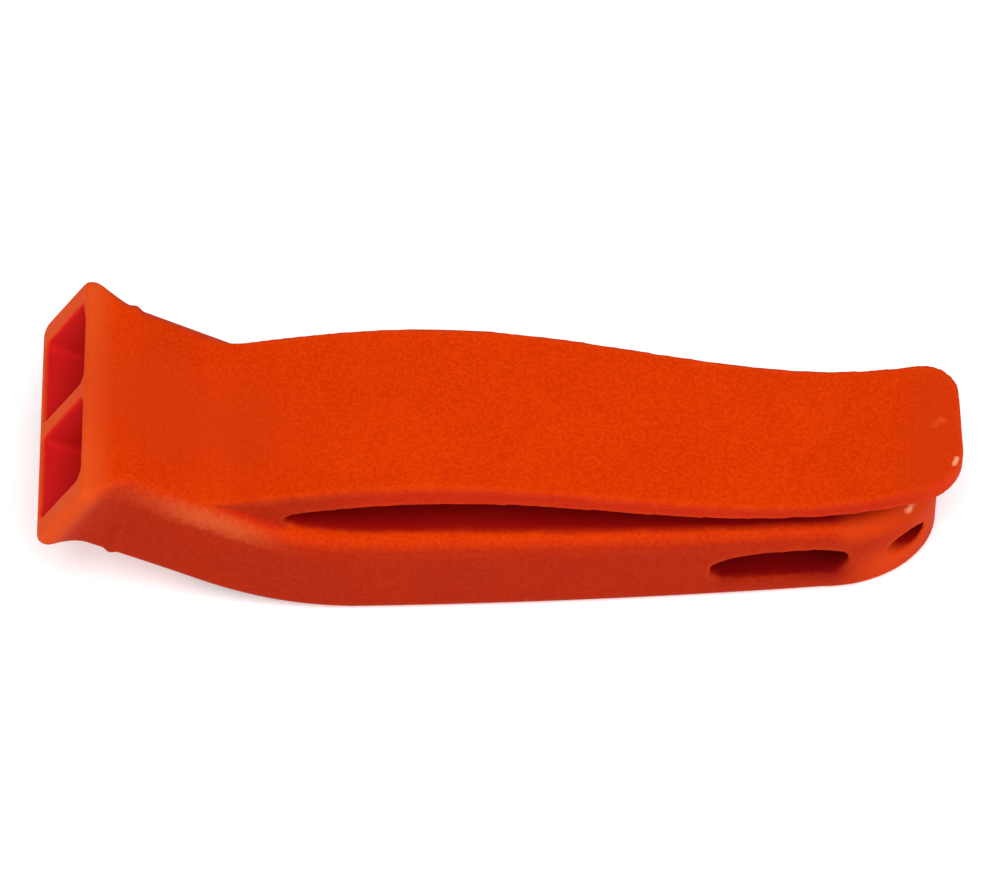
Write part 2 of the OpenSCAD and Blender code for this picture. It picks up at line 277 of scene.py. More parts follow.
def plank(stations, sides_of, height):
    """Closed slab over z 0 to height, between the two y that sides_of gives at each station."""
    bm = bmesh.new()
    ends = [bm.verts.new((stations[0], y, 0)) for y in sides_of(stations[0])]
    edge = bm.edges.new(ends)
    for x in stations[1:]:
        grown = bmesh.ops.extrude_edge_only(bm, edges=[edge])["geom"]
        ends = sorted(only(bmesh.types.BMVert, grown), key=lambda v: v.co.y)
        edge = next(e for e in only(bmesh.types.BMEdge, grown) if all(v in ends for v in e.verts))
        for v, y in zip(ends, sides_of(x)):
            v.co = (x, y, 0)
    bmesh.ops.remove_doubles(bm, verts=bm.verts, dist=1e-4)
    grown = bmesh.ops.extrude_face_region(bm, geom=bm.faces[:])["geom"]
    bmesh.ops.translate(bm, verts=only(bmesh.types.BMVert, grown), vec=(0, 0, height))
    bmesh.ops.recalc_face_normals(bm, faces=bm.faces)
    return bm


def bevel_edges(bm, rule, offset, segments):
    """Rounds the sharp edges whose middle and direction the rule accepts."""
    chosen = [e for e in bm.edges if len(e.link_faces) == 2 and e.calc_face_angle() > SHARP_TURN
              and rule((e.verts[0].co + e.verts[1].co) / 2, e.verts[1].co - e.verts[0].co)]
    bmesh.ops.bevel(bm, geom=chosen, offset=offset, segments=segments, profile=0.5,
                    affect="EDGES", material=-1, clamp_overlap=True)


def both(half):
    """The two sides of a plank that is symmetric about its middle."""
    return (-half, half)


def reshape(bm, rule):
    """Moves each point of a straight plank to where the rule puts it."""
    for v in bm.verts:
        v.co = rule(*v.co)


# %% Helpers for objects
def add_object(name, mesh):
    """Object at the origin with this mesh, in the collection of the scene."""
    obj = bpy.data.objects.new(name, mesh)
    bpy.context.scene.collection.objects.link(obj)
    return obj


def to_object(bm, name):
    """Turns a finished bmesh, which is used up, into an object."""
    bmesh.ops.recalc_face_normals(bm, faces=bm.faces)
    obj = add_object(name, bpy.data.meshes.new(name))
    bm.to_mesh(obj.data)
    bm.free()
    return obj


def apply_modifiers(obj):
    """Puts what the modifiers make into the mesh."""
    graph = bpy.context.evaluated_depsgraph_get()
    made = bpy.data.meshes.new_from_object(obj.evaluated_get(graph))
    old, obj.data = obj.data, made
    obj.modifiers.clear()
    bpy.data.meshes.remove(old)


def combine(obj, other, operation):
    """Joins or cuts obj with other, which is used up."""
    cut = obj.modifiers.new("combine", "BOOLEAN")
    cut.operation = operation
    cut.object = other
    cut.solver = "MANIFOLD"
    apply_modifiers(obj)
    used = other.data
    bpy.data.objects.remove(other)
    bpy.data.meshes.remove(used)


# %% [markdown]
# A material can follow what the mesh knows, if each point carries a number as an attribute.
# The helpers below read all points at once as arrays, because a skin has about 90,000 of them,
# and a loop over points in Python would take minutes.

# %% Helpers for numbers on the points
def mean_of_neighbours(mesh, values):
    """Mean of the values at the points that each point shares an edge with."""
    ends = np.empty(len(mesh.edges) * 2, dtype=int)
    mesh.edges.foreach_get("vertices", ends)
    ends = ends.reshape(-1, 2)
    total = np.zeros_like(values)
    np.add.at(total, ends[:, 0], values[ends[:, 1]])
    np.add.at(total, ends[:, 1], values[ends[:, 0]])
    near = np.bincount(ends.ravel(), minlength=len(values))
    return total / near.reshape((-1,) + (1,) * (values.ndim - 1))


def blur(mesh, values, rounds):
    """Values evened out over the mesh."""
    for _ in range(rounds):
        values = (values + mean_of_neighbours(mesh, values)) / 2
    return values


def places_and_normals(mesh):
    """Place and outward direction of every point, one row each."""
    places, outward = np.empty(len(mesh.vertices) * 3), np.empty(len(mesh.vertices) * 3)
    mesh.vertices.foreach_get("co", places)
    mesh.vertex_normals.foreach_get("vector", outward)
    return places.reshape(-1, 3), outward.reshape(-1, 3)


def keep_values(mesh, label, values):
    """Keeps one number per point as an attribute."""
    mesh.attributes.new(label, "FLOAT", "POINT").data.foreach_set("value", values)


# %% [markdown]
# A moulded part has no knife edges: every edge is rounded, and where two walls meet the corner
# is filled a little. A bevel fails where many edges run together, so the joined forms get an
# even voxel skin. The skin is relaxed, which rounds it, and it is then laid back onto the
# forms wherever it shrank, so that straight edges stay straight. How sharply each point
# bulges is kept as the attribute edge. From it a material paints rubbed wear with a painted
# highlight on bulges and painted shade in hollows.

# %% Helpers for the skin
BLUR_ROUNDS = 6
SETTLE_ROUNDS = 4


def measure_edges(mesh, voxel):
    """Keeps how sharply each point bulges, per mm, as the attribute edge. Hollows are below 0."""
    places, outward = places_and_normals(mesh)
    sunk = places - mean_of_neighbours(mesh, places)
    bulge = blur(mesh, (sunk * outward).sum(1) * 2 / voxel ** 2, BLUR_ROUNDS)
    keep_values(mesh, "edge", bulge)
    print("sharpest edge and hollow per mm:", round(bulge.max(), 2), round(bulge.min(), 2))


def relax(bm, rounds):
    """Moves every point halfway to the middle of its neighbours, round after round."""
    for _ in range(rounds):
        bmesh.ops.smooth_vert(bm, verts=bm.verts, factor=0.5,
                              use_axis_x=True, use_axis_y=True, use_axis_z=True)


def mould(obj, voxel, rounds, hold, fill):
    """Even skin over the joined forms. Where it shrank it is laid back onto them, by the share
    that the rule hold gives for the place, so edges run true. Hollow corners that it fills by
    more than the rule fill allows stay soft."""
    form = BVHTree.FromPolygons([v.co.copy() for v in obj.data.vertices],
                                [list(p.vertices) for p in obj.data.polygons])
    skin = obj.modifiers.new("skin", "REMESH")
    skin.mode = "VOXEL"
    skin.voxel_size = voxel
    apply_modifiers(obj)
    bm = bmesh.new()
    bm.from_mesh(obj.data)
    relax(bm, rounds)
    for _ in range(SETTLE_ROUNDS):
        for v in bm.verts:
            spot, outward, _, gap = form.find_nearest(v.co)
            inside = (v.co - spot).dot(outward) < 0
            share = hold(v.co) * (1 if inside else max(0, 1 - gap / fill(v.co)))
            v.co = v.co.lerp(spot, share)
        relax(bm, 1)
    bm.to_mesh(obj.data)
    bm.free()
    measure_edges(obj.data, voxel)
    print(obj.name, "skin faces:", len(obj.data.polygons))


# %% [markdown]
# The body is one long plank with a round tail. Its clip side has the larger edge radius, so
# the neck shows a broad highlight along its ridge. A bevel stops where edges get short, as
# they do at the tip of a tail, so the plank is beveled while all its stations are equally
# wide. After that each section is drawn in to its real width, along the outline's normal.

# %% Body
TOP_EDGE = 1.8
BACK_EDGE = 1.0
STATION = 0.4
TAIL_STEPS = 48
TOP_SEGMENTS = 14
BACK_SEGMENTS = 8
NECK_LIFT = 0.3
SPARE = 1.5


def bevel_long_edges(bm, top, back):
    """Rounds the long edges of a straight plank of the neck's section."""
    lengthwise = lambda way: abs(way.x) > 10 * (abs(way.y) + abs(way.z))
    bevel_edges(bm, lambda mid, way: mid.z > NECK_T / 2 and lengthwise(way), top,
                TOP_SEGMENTS)
    bevel_edges(bm, lambda mid, way: mid.z < 0.01 and lengthwise(way), back, BACK_SEGMENTS)


def neck_lift(s):
    """How far the underside lies above the plain curve between seam and flat."""
    return NECK_LIFT * math.sin(math.pi * (1 - clamped(s / SEAM_S)))


def along_body(s, y, n):
    """Place of a point of the straight body plank, drawn in along the outline's normal."""
    x = x_at(s)
    way = side_way(x)
    drawn_in = NECK_W / 2 - abs(y)
    half = half_width(x) - way.y * drawn_in
    height = n + neck_lift(s) if n < NECK_T / 2 else thickness(x) - (NECK_T - n)
    return place(s - way.x * drawn_in, math.copysign(half, y), height)


body_run = ROUND_X - FLAT_X
stations = steps(SEAM_S - SPARE, 0, round(-SEAM_S / STATION))
stations += steps(0, body_run, round(body_run / STATION))[1:]
stations += [body_run + TAIL_ROUND * math.sin(a)
             for a in steps(0, math.pi / 2, TAIL_STEPS)[1:]]
bm = plank(stations, lambda s: both(NECK_W / 2), NECK_T)
bevel_long_edges(bm, TOP_EDGE, BACK_EDGE)
reshape(bm, along_body)
bmesh.ops.remove_doubles(bm, verts=bm.verts, dist=1e-3)
body = to_object(bm, "whistle_body")
print("body plank faces:", len(body.data.polygons))

# %% [markdown]
# The clip grows out of the neck: its top rises from a soft dip to a crest, falls to a low
# point over the slot and lifts again at the tip. Quarter and half waves give that line with a
# height at each turn, where a drawn curve would need many control points. The clip narrows
# towards its tip, is thinnest at the low point and has round corners at the end.

# %% Line of the clip
LIP_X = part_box("mouthpiece")[0].x / MM
TIP_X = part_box("spring_clip")[1].x / MM
CREST_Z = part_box("spring_clip")[1].z / MM
DIP_X = LIP_X + 14.6
CREST_X = LIP_X + 32.5
LOW_X = TIP_X - 12.8
LOW_Z = 11.3
TIP_Z = 14.1
DIP_BLEND = 2.2


def neck_top(x):
    """Height of the neck's clip side at x."""
    start = place(-BEND_LEN, 0, NECK_T)
    return start.z + (start.x - x) * math.tan(NECK_TILT)


def wave(x):
    """Height of the clip's top at x, from the dip to the tip."""
    if x < CREST_X:
        rise = CREST_Z - neck_top(DIP_X)
        return neck_top(DIP_X) + rise * math.sin(math.pi / 2 * (x - DIP_X) / (CREST_X - DIP_X))
    if x < LOW_X:
        fall = (1 - math.cos(math.pi * (x - CREST_X) / (LOW_X - CREST_X))) / 2
        return CREST_Z + (LOW_Z - CREST_Z) * fall
    lift = 1 - math.cos(math.pi / 2 * (x - LOW_X) / (TIP_X - LOW_X))
    return LOW_Z + (TIP_Z - LOW_Z) * lift


def clip_top(x):
    """The wave, with the dip between neck and clip blended."""
    u = (x - DIP_X + DIP_BLEND) / (2 * DIP_BLEND)
    if u >= 1:
        return wave(x)
    before, after = neck_top(DIP_X - DIP_BLEND), wave(DIP_X + DIP_BLEND)
    return before * (1 - u) ** 2 + neck_top(DIP_X) * 2 * u * (1 - u) + after * u ** 2


print("crest at x =", round(CREST_X, 2), "and low point at x =", round(LOW_X, 2))

# %% Thickness and width of the clip
ROOT_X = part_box("spring_clip")[0].x / MM - 0.2
ROOT_T = 2.4
LOW_T = 1.4
TIP_T = 1.9
ROOT_W = 16.4
TIP_W = 12.0
TIP_CORNER = 3.3
CLIP_BOW = 0.65
CLIP_PROUD = 0.15


def clip_thickness(x):
    """Thickness of the clip at x."""
    if x < LOW_X:
        return ROOT_T + (LOW_T - ROOT_T) * (x - ROOT_X) / (LOW_X - ROOT_X)
    return LOW_T + (TIP_T - LOW_T) * (x - LOW_X) / (TIP_X - LOW_X)


def clip_half(x):
    """Half width of the clip at x, with round corners at the tip."""
    u = max(0, (x - ROOT_X) / (TIP_X - ROOT_X))
    half = (ROOT_W + (TIP_W - ROOT_W) * u) / 2 + CLIP_BOW * 4 * u * (1 - u) + CLIP_PROUD
    past = max(0, x - (TIP_X - TIP_CORNER))
    return half - TIP_CORNER + math.sqrt(max(0, TIP_CORNER ** 2 - past ** 2))


print("clip half width at root, crest and low point:",
      [round(clip_half(x), 2) for x in (ROOT_X, CREST_X, LOW_X)])

# %% [markdown]
# The clip is a plank whose top and underside follow these lines. Under its root the gap starts
# with a round end. The upper half of that round is part of the clip's underside, and the lower
# half is the top of a second, low plank that stands on the body.

# %% Underside of the clip and start of the gap
SUNK = 1.0
TIP_SLANT = 0.035
TIP_SLANT_MID = 0.5
TIP_SLANT_REACH = 8.0

gap_floor = BEND_R - math.sqrt((BEND_R - NECK_T) ** 2 - (FLAT_X - ROOT_X) ** 2)
gap_roof = clip_top(ROOT_X) - ROOT_T
gap_r = (gap_roof - gap_floor) / 2
gap_mid = (gap_roof + gap_floor) / 2


def gap_round(x):
    """Half height of the gap's round end at x."""
    if x >= ROOT_X + gap_r:
        return gap_r
    return math.sqrt(max(0, gap_r ** 2 - (ROOT_X + gap_r - x) ** 2))


def clip_bottom(x):
    """Underside of the clip: the middle of the root web, then the gap's round end, then free."""
    if x <= ROOT_X:
        return gap_mid - SUNK / 2
    free = clip_top(x) - clip_thickness(x)
    return min(free, gap_mid + gap_round(x)) if x < ROOT_X + gap_r else free


def along_clip(x, y, z):
    """Place of a point of the straight clip plank. Its end is cut at a slight slant."""
    low, high = clip_bottom(x), clip_top(x)
    slant = TIP_SLANT * (y + TIP_SLANT_MID) * max(0, 1 - (TIP_X - x) / TIP_SLANT_REACH)
    return Vector((x - slant, y, low + (high - low) * z / ROOT_T))


def along_root(x, y, z):
    """Place of a point of the low plank under the clip's root."""
    if z < 0.5:
        return Vector((x, y, gap_floor - SUNK))
    return Vector((x, y, gap_mid + SUNK / 2 if x < ROOT_X else gap_mid - gap_round(x)))


print("gap starts with a radius of", round(gap_r, 2), "at height", round(gap_mid, 2))

# %% Clip and its root
CLIP_EDGE = 0.5
UNDER_EDGE = 0.35
CLIP_SEGMENTS = 8
UNDER_SEGMENTS = 6
PLAIN_END = 0.1
BEFORE_ROOT = 0.01
GAP_STEPS = 10
WEB_STEPS = 20
BLADE_STEPS = 130
CORNER_STEPS = 24
LOW_STEPS = 6

root_end = [ROOT_X + gap_r * (1 - math.cos(a)) for a in steps(0, math.pi / 2, GAP_STEPS)]
stations = steps(DIP_X - DIP_BLEND, ROOT_X - BEFORE_ROOT, WEB_STEPS) + root_end
stations += steps(root_end[-1], TIP_X - TIP_CORNER, BLADE_STEPS)[1:]
stations += [TIP_X - TIP_CORNER + TIP_CORNER * math.sin(a)
             for a in steps(0, math.pi / 2, CORNER_STEPS)[1:]]
free_edge = lambda mid, way: mid.x > DIP_X - DIP_BLEND + PLAIN_END and abs(way.z) < 0.01
bm = plank(stations, lambda x: both(clip_half(x)), ROOT_T)
bevel_edges(bm, lambda mid, way: mid.z > ROOT_T / 2 and free_edge(mid, way), CLIP_EDGE,
            CLIP_SEGMENTS)
bevel_edges(bm, lambda mid, way: mid.z < 0.01 and free_edge(mid, way), UNDER_EDGE,
            UNDER_SEGMENTS)
reshape(bm, along_clip)
clip = to_object(bm, "clip_form")

stations = steps(DIP_X, ROOT_X - BEFORE_ROOT, LOW_STEPS) + root_end
bm = plank(stations, lambda x: both(ROOT_W / 2), 1)
reshape(bm, along_root)
root = to_object(bm, "root_form")
print("clip and root faces:", len(clip.data.polygons), len(root.data.polygons))

# %% [markdown]
# The cord slot is leaf-shaped, with two full and two cut corners, and its rim is rounded most
# along the lower edge, where the cord rubs. A grid is rolled into a tube for it: one side of
# the grid runs round the slot, the other runs through the body, and the last rows open out
# like a trumpet. The tail hole is made the same way. A corner's power says how full it is: 2
# gives an ellipse, and more gives a squarer corner.

# %% Slot and tail hole
SLOT = Vector((TAIL_X - 13.1, 0, 3.85))
SLOT_LEN = 11.3
SLOT_H = 3.4
HOLE = Vector((TAIL_X - 2.7, 0, 3.6))
HOLE_R = 1.5
HOLE_HALF_H = 1.25
RIM = 0.3
RIM_TOP_SHARE = 0.45
RIM_STEPS = 6
PAST_SIDE = 2
AROUND = 128
CUT_POWER = 2.0
FULL_POWER = 3.6


def opening(name, centre, half_len, half_high, cut, full):
    """Tube through the body with flared ends. Two opposite quarters of its outline have the
    power cut, and two have the power full."""
    def at(angle, side, depth):
        c, d = math.cos(angle), math.sin(angle)
        power = cut if c * d < 0 else full
        u, w = math.copysign(abs(c) ** (2 / power), c), math.copysign(abs(d) ** (2 / power), d)
        away = Vector((math.copysign(abs(u) ** (power - 1), u) / half_len,
                       math.copysign(abs(w) ** (power - 1), w) / half_high)).normalized()
        opened = RIM * (RIM_TOP_SHARE + (1 - RIM_TOP_SHARE) * max(0, -away.y))
        out = opened * (1 - math.sqrt(1 - min(1, depth / RIM) ** 2))
        x = centre.x + u * half_len + away.x * out
        wall = half_width(min(x, TAIL_X)) - RIM + depth
        return Vector((x, side * wall, centre.z + w * half_high + away.y * out))

    depths = [RIM * math.sin(a) for a in steps(0, math.pi / 2, RIM_STEPS)] + [RIM + PAST_SIDE]
    rows = [(-1, d) for d in reversed(depths)] + [(1, d) for d in depths]
    bm = bmesh.new()
    bmesh.ops.create_grid(bm, x_segments=AROUND, y_segments=len(rows) - 1, size=1)
    for v in bm.verts:
        side, depth = rows[round((v.co.y + 1) / 2 * (len(rows) - 1))]
        v.co = at(math.pi * (v.co.x + 1 + 1 / AROUND), side, depth)
    bmesh.ops.remove_doubles(bm, verts=bm.verts, dist=1e-4)
    bmesh.ops.holes_fill(bm, edges=bm.edges)
    return to_object(bm, name)


slot_cut = opening("slot_form", SLOT, SLOT_LEN / 2, SLOT_H / 2, CUT_POWER, FULL_POWER)
hole_cut = opening("hole_form", HOLE, HOLE_R, HOLE_HALF_H, CUT_POWER, CUT_POWER)
print("slot and hole forms have", len(slot_cut.data.polygons), "faces each")

# %% [markdown]
# Now the forms are joined and cut with booleans, and the skin is laid over them as one piece,
# because body and clip are one moulding. The hollow corner between neck and clip stays soft.
# Along the free blade the skin is laid back from outside too, so the blade keeps its edges.

# %% Skin of body and clip
BODY_VOXEL = 0.2
BODY_ROUNDS = 6
PART_Z = 9.6
BLADE_START = 3
BLADE_DROP = 0.3
FILL = 0.06
BLADE_FILL = 5.0


def body_fill(spot):
    """By how many mm the skin may fill a hollow corner before it is left so."""
    on_blade = spot.x > ROOT_X + BLADE_START and spot.z > PART_Z - BLADE_DROP
    return BLADE_FILL if on_blade else FILL


combine(body, root, "UNION")
combine(body, clip, "UNION")
combine(body, slot_cut, "DIFFERENCE")
combine(body, hole_cut, "DIFFERENCE")
mould(body, BODY_VOXEL, BODY_ROUNDS, lambda spot: 1, body_fill)

# %% [markdown]
# The mouthpiece is welded to the neck, and the weld leaves a low bead on both sides. Body and
# mouthpiece are cut off clean at the seam after their skins are laid, so they meet flush.

# %% Seam with the mouthpiece
BEAD_H = 0.22
BEAD_HALF = 0.75
BEAD_TOP = (SEAM_S - 0.5, 7.6)
BEAD_LOW = (SEAM_S + 1.5, 1.0)
BEAD_PAST = 0.3
BEAD_IN = 2.0
BEAD_FADE = 1.2
BEAD_SPAN = 2
BEAD_LOST = 0.6
TRIM_BELOW = 0.3
neck_way = Vector((math.cos(NECK_TILT), 0, -math.sin(NECK_TILT)))
neck_out = Vector((math.sin(NECK_TILT), 0, math.cos(NECK_TILT)))


def raise_beads(obj):
    """Low slanting bead on each side of the neck, uneven as a weld leaves it: the near one
    fades towards the clip side, the far one towards the back."""
    for v in obj.data.vertices:
        from_face = v.co - place(FACE_S, 0, 0)
        s, n = FACE_S + from_face.dot(neck_way), from_face.dot(neck_out)
        along = (n - BEAD_LOW[1]) / (BEAD_TOP[1] - BEAD_LOW[1])
        off = (s - BEAD_LOW[0] - (BEAD_TOP[0] - BEAD_LOW[0]) * along) / BEAD_HALF
        fade = clamped((abs(v.co.y) - NECK_W / 2 + BEAD_IN) / BEAD_FADE)
        fade *= clamped(BEAD_SPAN * (1 - along if v.co.y < 0 else along) - BEAD_LOST)
        if abs(off) < 1 and -BEAD_PAST < along < 1 + BEAD_PAST and fade > 0:
            height = BEAD_H * fade * math.cos(off * math.pi / 2) ** 2
            sideways = Vector((0, math.copysign(1, v.co.y), 0))
            out = sideways + neck_out * (2 * clamped(along) - 1)
            v.co += out.normalized() * height


def trim(obj, s_start, s_end):
    """Cuts away what lies between two places along the neck."""
    bm = plank([s_start, s_end], lambda s: both(NECK_W), 1)
    reshape(bm, lambda s, y, z: place(s, y, NECK_W * (z - TRIM_BELOW)))
    combine(obj, to_object(bm, "trim_form"), "DIFFERENCE")


raise_beads(body)
trim(body, SEAM_S - 2 * SPARE, SEAM_S)
print("body starts at x", round(min(v.co.x for v in body.data.vertices), 2))

# %% [markdown]
# Body and clip are one moulding, but only the clip bends. The skin is cut in two just past the
# start of the gap, with the same plane on both sides, so the two halves meet in one outline
# and no seam shows. How far each point of the clip half lies along its first stretch is kept
# as the attribute along_clip.

# %% Part the clip from the body
PART_X = ROOT_X + 0.6
PART_W = 24
PART_H = 10
PAST_TIP = 2
ALONG_REACH = 9.0
bm = bmesh.new()
bmesh.ops.create_cube(bm, size=1)
bmesh.ops.scale(bm, vec=(TIP_X - PART_X + PAST_TIP, PART_W, PART_H), verts=bm.verts)
bmesh.ops.translate(bm, vec=((TIP_X + PART_X + PAST_TIP) / 2, 0, PART_Z + PART_H / 2),
                    verts=bm.verts)
clip_side = to_object(bm, "clip_side")
blade = add_object("clip_blade", body.data.copy())
combine(blade, add_object("clip_side_again", clip_side.data.copy()), "INTERSECT")
combine(body, clip_side, "DIFFERENCE")
along = [clamped((v.co.x - PART_X) / ALONG_REACH) for v in blade.data.vertices]
keep_values(blade.data, "along_clip", along)
print("faces of body and blade:", len(body.data.polygons), len(blade.data.polygons))

# %% [markdown]
# The hollow inside is cut after the skin, because its walls are flat and need few faces. Two
# channels run down the neck, each opens into a chamber, and a shallow seat takes the cover.

# %% Channels, chambers and the seat of the cover
DIVIDER = 1.7
CHANNEL_W = 7.5
CHANNEL_LOW = 1.2
CHANNEL_HIGH = 6.8
ROOF = 1.4
SIDE_WALL = 1.45
WINDOW_S = 0.3 - BEND_LEN
EDGE_S = WINDOW_S + 4.2
CHAMBER_END = SLOT.x - SLOT_LEN / 2 - 1.3
CHAMBER_STEP = 5.5
COVER_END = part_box("back_cover")[1].x / MM
COVER_T = 1.3
COVER_RIM = 0.85
GAP = 0.04
OVERRUN = 0.5
HOLLOW_STEPS = 36


def hollow(name, s_start, s_end, sides_of, low_of, high_of):
    """Bar between two heights over the back line, to cut with or to keep."""
    bm = plank(steps(s_start, s_end, HOLLOW_STEPS), sides_of, 1)
    reshape(bm, lambda s, y, z: place(s, y, high_of(s) if z > 0.5 else low_of(s)))
    return to_object(bm, name)


for side, end_x in ((1, CHAMBER_END), (-1, CHAMBER_END - CHAMBER_STEP)):
    chamber = lambda s: sorted((side * DIVIDER / 2, side * (half_width(x_at(s)) - SIDE_WALL)))
    combine(body, hollow("chamber_form", WINDOW_S, end_x - FLAT_X, chamber, lambda s: -OVERRUN,
                         lambda s: thickness(x_at(s)) - ROOF), "DIFFERENCE")
    channel = sorted((side * DIVIDER / 2, side * (DIVIDER / 2 + CHANNEL_W)))
    combine(body, hollow("channel_form", SEAM_S - OVERRUN, OVERRUN - BEND_LEN, lambda s: channel,
                         lambda s: CHANNEL_LOW, lambda s: CHANNEL_HIGH), "DIFFERENCE")
seat = lambda s: both(half_width(x_at(s)) - COVER_RIM)
combine(body, hollow("seat_form", EDGE_S - GAP, COVER_END - FLAT_X + GAP, seat,
                     lambda s: -OVERRUN, lambda s: COVER_T + GAP), "DIFFERENCE")
print("body faces after the cuts:", len(body.data.polygons))

# %% [markdown]
# The mouthpiece flares from the section of the neck to a wider lip. It starts as a plank like
# the body, and a quarter wave opens its section towards the lip face. The lip's edge is drawn
# in along a quarter round, most on the clip side, which gives the soft edge that the teeth
# meet.

# %% Section of the mouthpiece
LIP_W = 2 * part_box("mouthpiece")[1].y / MM
LIP_DROP = 0.4
LIP_TOP = 7.9
LIP_LAND = 1.0
LIP_EDGE = 0.55
LIP_ROLL = 1.6
LIP_ROLL_DEPTH = 0.65
LIP_CORNER = 1.0
LIP_LOW_CORNER = 1.2
LIP_PROUD = 0.2


def flare(a):
    """Share of the lip's shape at a mm behind the lip face."""
    u = clamped((a - LIP_LAND) / (FLANGE_LEN - LIP_LAND))
    return 1 - math.sin(math.pi / 2 * u)


def mouth_half(a):
    """Half width of the mouthpiece."""
    return NECK_W / 2 + (LIP_W / 2 + LIP_PROUD - NECK_W / 2) * flare(a)


def rolled(a, length, depth):
    """How far the section is drawn in at a mm behind the lip face."""
    return depth * (1 - math.sqrt(1 - max(0, 1 - a / length) ** 2))


def along_mouth(a, y, n):
    """Place of a point of the straight mouthpiece plank. The lip's edge is rolled, most on top."""
    upper = n > NECK_T / 2
    made_r = TOP_EDGE if upper else BACK_EDGE
    across = 1 - (NECK_W / 2 - abs(y)) / made_r
    along = 1 - (NECK_T - n if upper else n) / made_r
    drawn_in = rolled(a, LIP_EDGE, LIP_EDGE)
    lip_corner = LIP_CORNER if upper else LIP_LOW_CORNER
    corner = made_r + (lip_corner - made_r) * flare(a) - drawn_in
    half = mouth_half(a) - drawn_in + (across - 1) * corner
    if upper:
        top = NECK_T + (LIP_TOP - NECK_T) * flare(a) - rolled(a, LIP_ROLL, LIP_ROLL_DEPTH)
        height = top + (along - 1) * corner
    else:
        height = drawn_in - LIP_DROP * flare(a) - (along - 1) * corner
    return place(FACE_S + a - LIP_PROUD, math.copysign(half, y), height)


print("half width at the lip face and at the seam:",
      round(mouth_half(0), 2), round(mouth_half(FLANGE_LEN), 2))

# %% [markdown]
# The two ducts are boxes with small corner radii that taper from the lip's openings to the
# channels in the neck. They are cut before the skin is laid, so their mouths get a soft edge
# too. The skin is finer than the body's, because the wall between the ducts is thin. How near
# a point lies to the lip face is kept as an attribute, for the painted highlight on the lip.

# %% Ducts
MOUTH_W = 8.1
MOUTH_LOW = 0.4
MOUTH_HIGH = 7.05
DUCT_CORNER = 0.45
DUCT_SEGMENTS = 3
SOCKET_WALL = 0.7
SOCKET_LEN = 3.0
DUCT_LEN = FLANGE_LEN + SOCKET_LEN


def duct_boxes(name, start, end, grow, corner):
    """Box along each duct, drawn in by grow. With a corner radius it tapers from the lip's
    opening to the channel. Without one it has the channel's section all along."""
    for side in (-1, 1):
        bm = bmesh.new()
        bmesh.ops.create_cube(bm, size=1)
        bmesh.ops.translate(bm, vec=(0.5, 0, 0.5), verts=bm.verts)
        bmesh.ops.scale(bm, vec=(end - start, MOUTH_W, MOUTH_HIGH - MOUTH_LOW), verts=bm.verts)
        if corner:
            bevel_edges(bm, lambda mid, way: abs(way.x) > (end - start) / 2, corner,
                        DUCT_SEGMENTS)
        for v in bm.verts:
            u = (start + v.co.x) / DUCT_LEN if corner else 1
            width = MOUTH_W + (CHANNEL_W - 2 * grow - MOUTH_W) * u
            middle = side * (DIVIDER + MOUTH_W + (CHANNEL_W - MOUTH_W) * u) / 2
            low = MOUTH_LOW + (CHANNEL_LOW + grow - MOUTH_LOW) * u
            high = MOUTH_HIGH + (CHANNEL_HIGH - grow - MOUTH_HIGH) * u
            v.co = place(FACE_S + start + v.co.x, middle + v.co.y * width / MOUTH_W,
                         low + (high - low) * v.co.z / (MOUTH_HIGH - MOUTH_LOW))
        yield to_object(bm, name)


print("duct openings in mm:", MOUTH_W, "by", round(MOUTH_HIGH - MOUTH_LOW, 2))

# %% Mouthpiece
MOUTH_VOXEL = 0.13
MOUTH_ROUNDS = 5
LIP_STEPS = 14
FLANGE_STEPS = 24
LIP_HIGHLIGHT_REACH = 2.6


def behind_lip(spot, start, reach):
    """Goes from 0 to 1 over a stretch behind the lip face."""
    return clamped(((spot - place(FACE_S, 0, 0)).dot(neck_way) - start) / reach)


lip_stations = [LIP_ROLL * (1 - math.cos(t)) for t in steps(0, math.pi / 2, LIP_STEPS)]
flange_stations = steps(LIP_ROLL, FLANGE_LEN + SPARE, FLANGE_STEPS)[1:]
bm = plank(lip_stations + flange_stations, lambda a: both(NECK_W / 2), NECK_T)
bevel_long_edges(bm, TOP_EDGE, BACK_EDGE)
reshape(bm, along_mouth)
mouth = to_object(bm, "mouth_flare")
for box in duct_boxes("duct_form", -OVERRUN, DUCT_LEN + OVERRUN, SOCKET_WALL, DUCT_CORNER):
    combine(mouth, box, "DIFFERENCE")
mould(mouth, MOUTH_VOXEL, MOUTH_ROUNDS, lambda spot: behind_lip(spot, LIP_ROLL, LIP_ROLL),
      lambda spot: FILL)
# Painted highlight on the lip: full at the lip face, gone a few mm behind it.
behind = [behind_lip(v.co, 0, LIP_HIGHLIGHT_REACH) for v in mouth.data.vertices]
keep_values(mouth.data, "lip_highlight", [1 - u * u * (3 - 2 * u) for u in behind])
raise_beads(mouth)

# %% [markdown]
# Behind the seam two thin-walled sockets plug into the channels of the neck. Their walls are
# flat and hidden, so they need no skin: they are joined on after the flare is cut off at the
# seam, and the ducts are then cut once more, through flare and sockets.

# %% Sockets of the mouthpiece
trim(mouth, SEAM_S, SEAM_S + 2 * SPARE)
for box in duct_boxes("socket_form", FLANGE_LEN - OVERRUN, DUCT_LEN, GAP, 0):
    combine(mouth, box, "UNION")
for box in duct_boxes("duct_form", FLANGE_LEN - 2 * OVERRUN, DUCT_LEN + OVERRUN, SOCKET_WALL,
                      DUCT_CORNER):
    combine(mouth, box, "DIFFERENCE")
print("mouthpiece faces:", len(mouth.data.polygons))

# %% [markdown]
# The back cover is a thin plank whose front end is a ramp: it thins to the sharp edge that
# splits the air and makes the sound. It is welded in, so a fine line runs round it.

# %% Back cover
EDGE_T = 0.25
EDGE_RAMP = 3.2
COVER_EDGE = 0.12
COVER_TURN = math.radians(40)


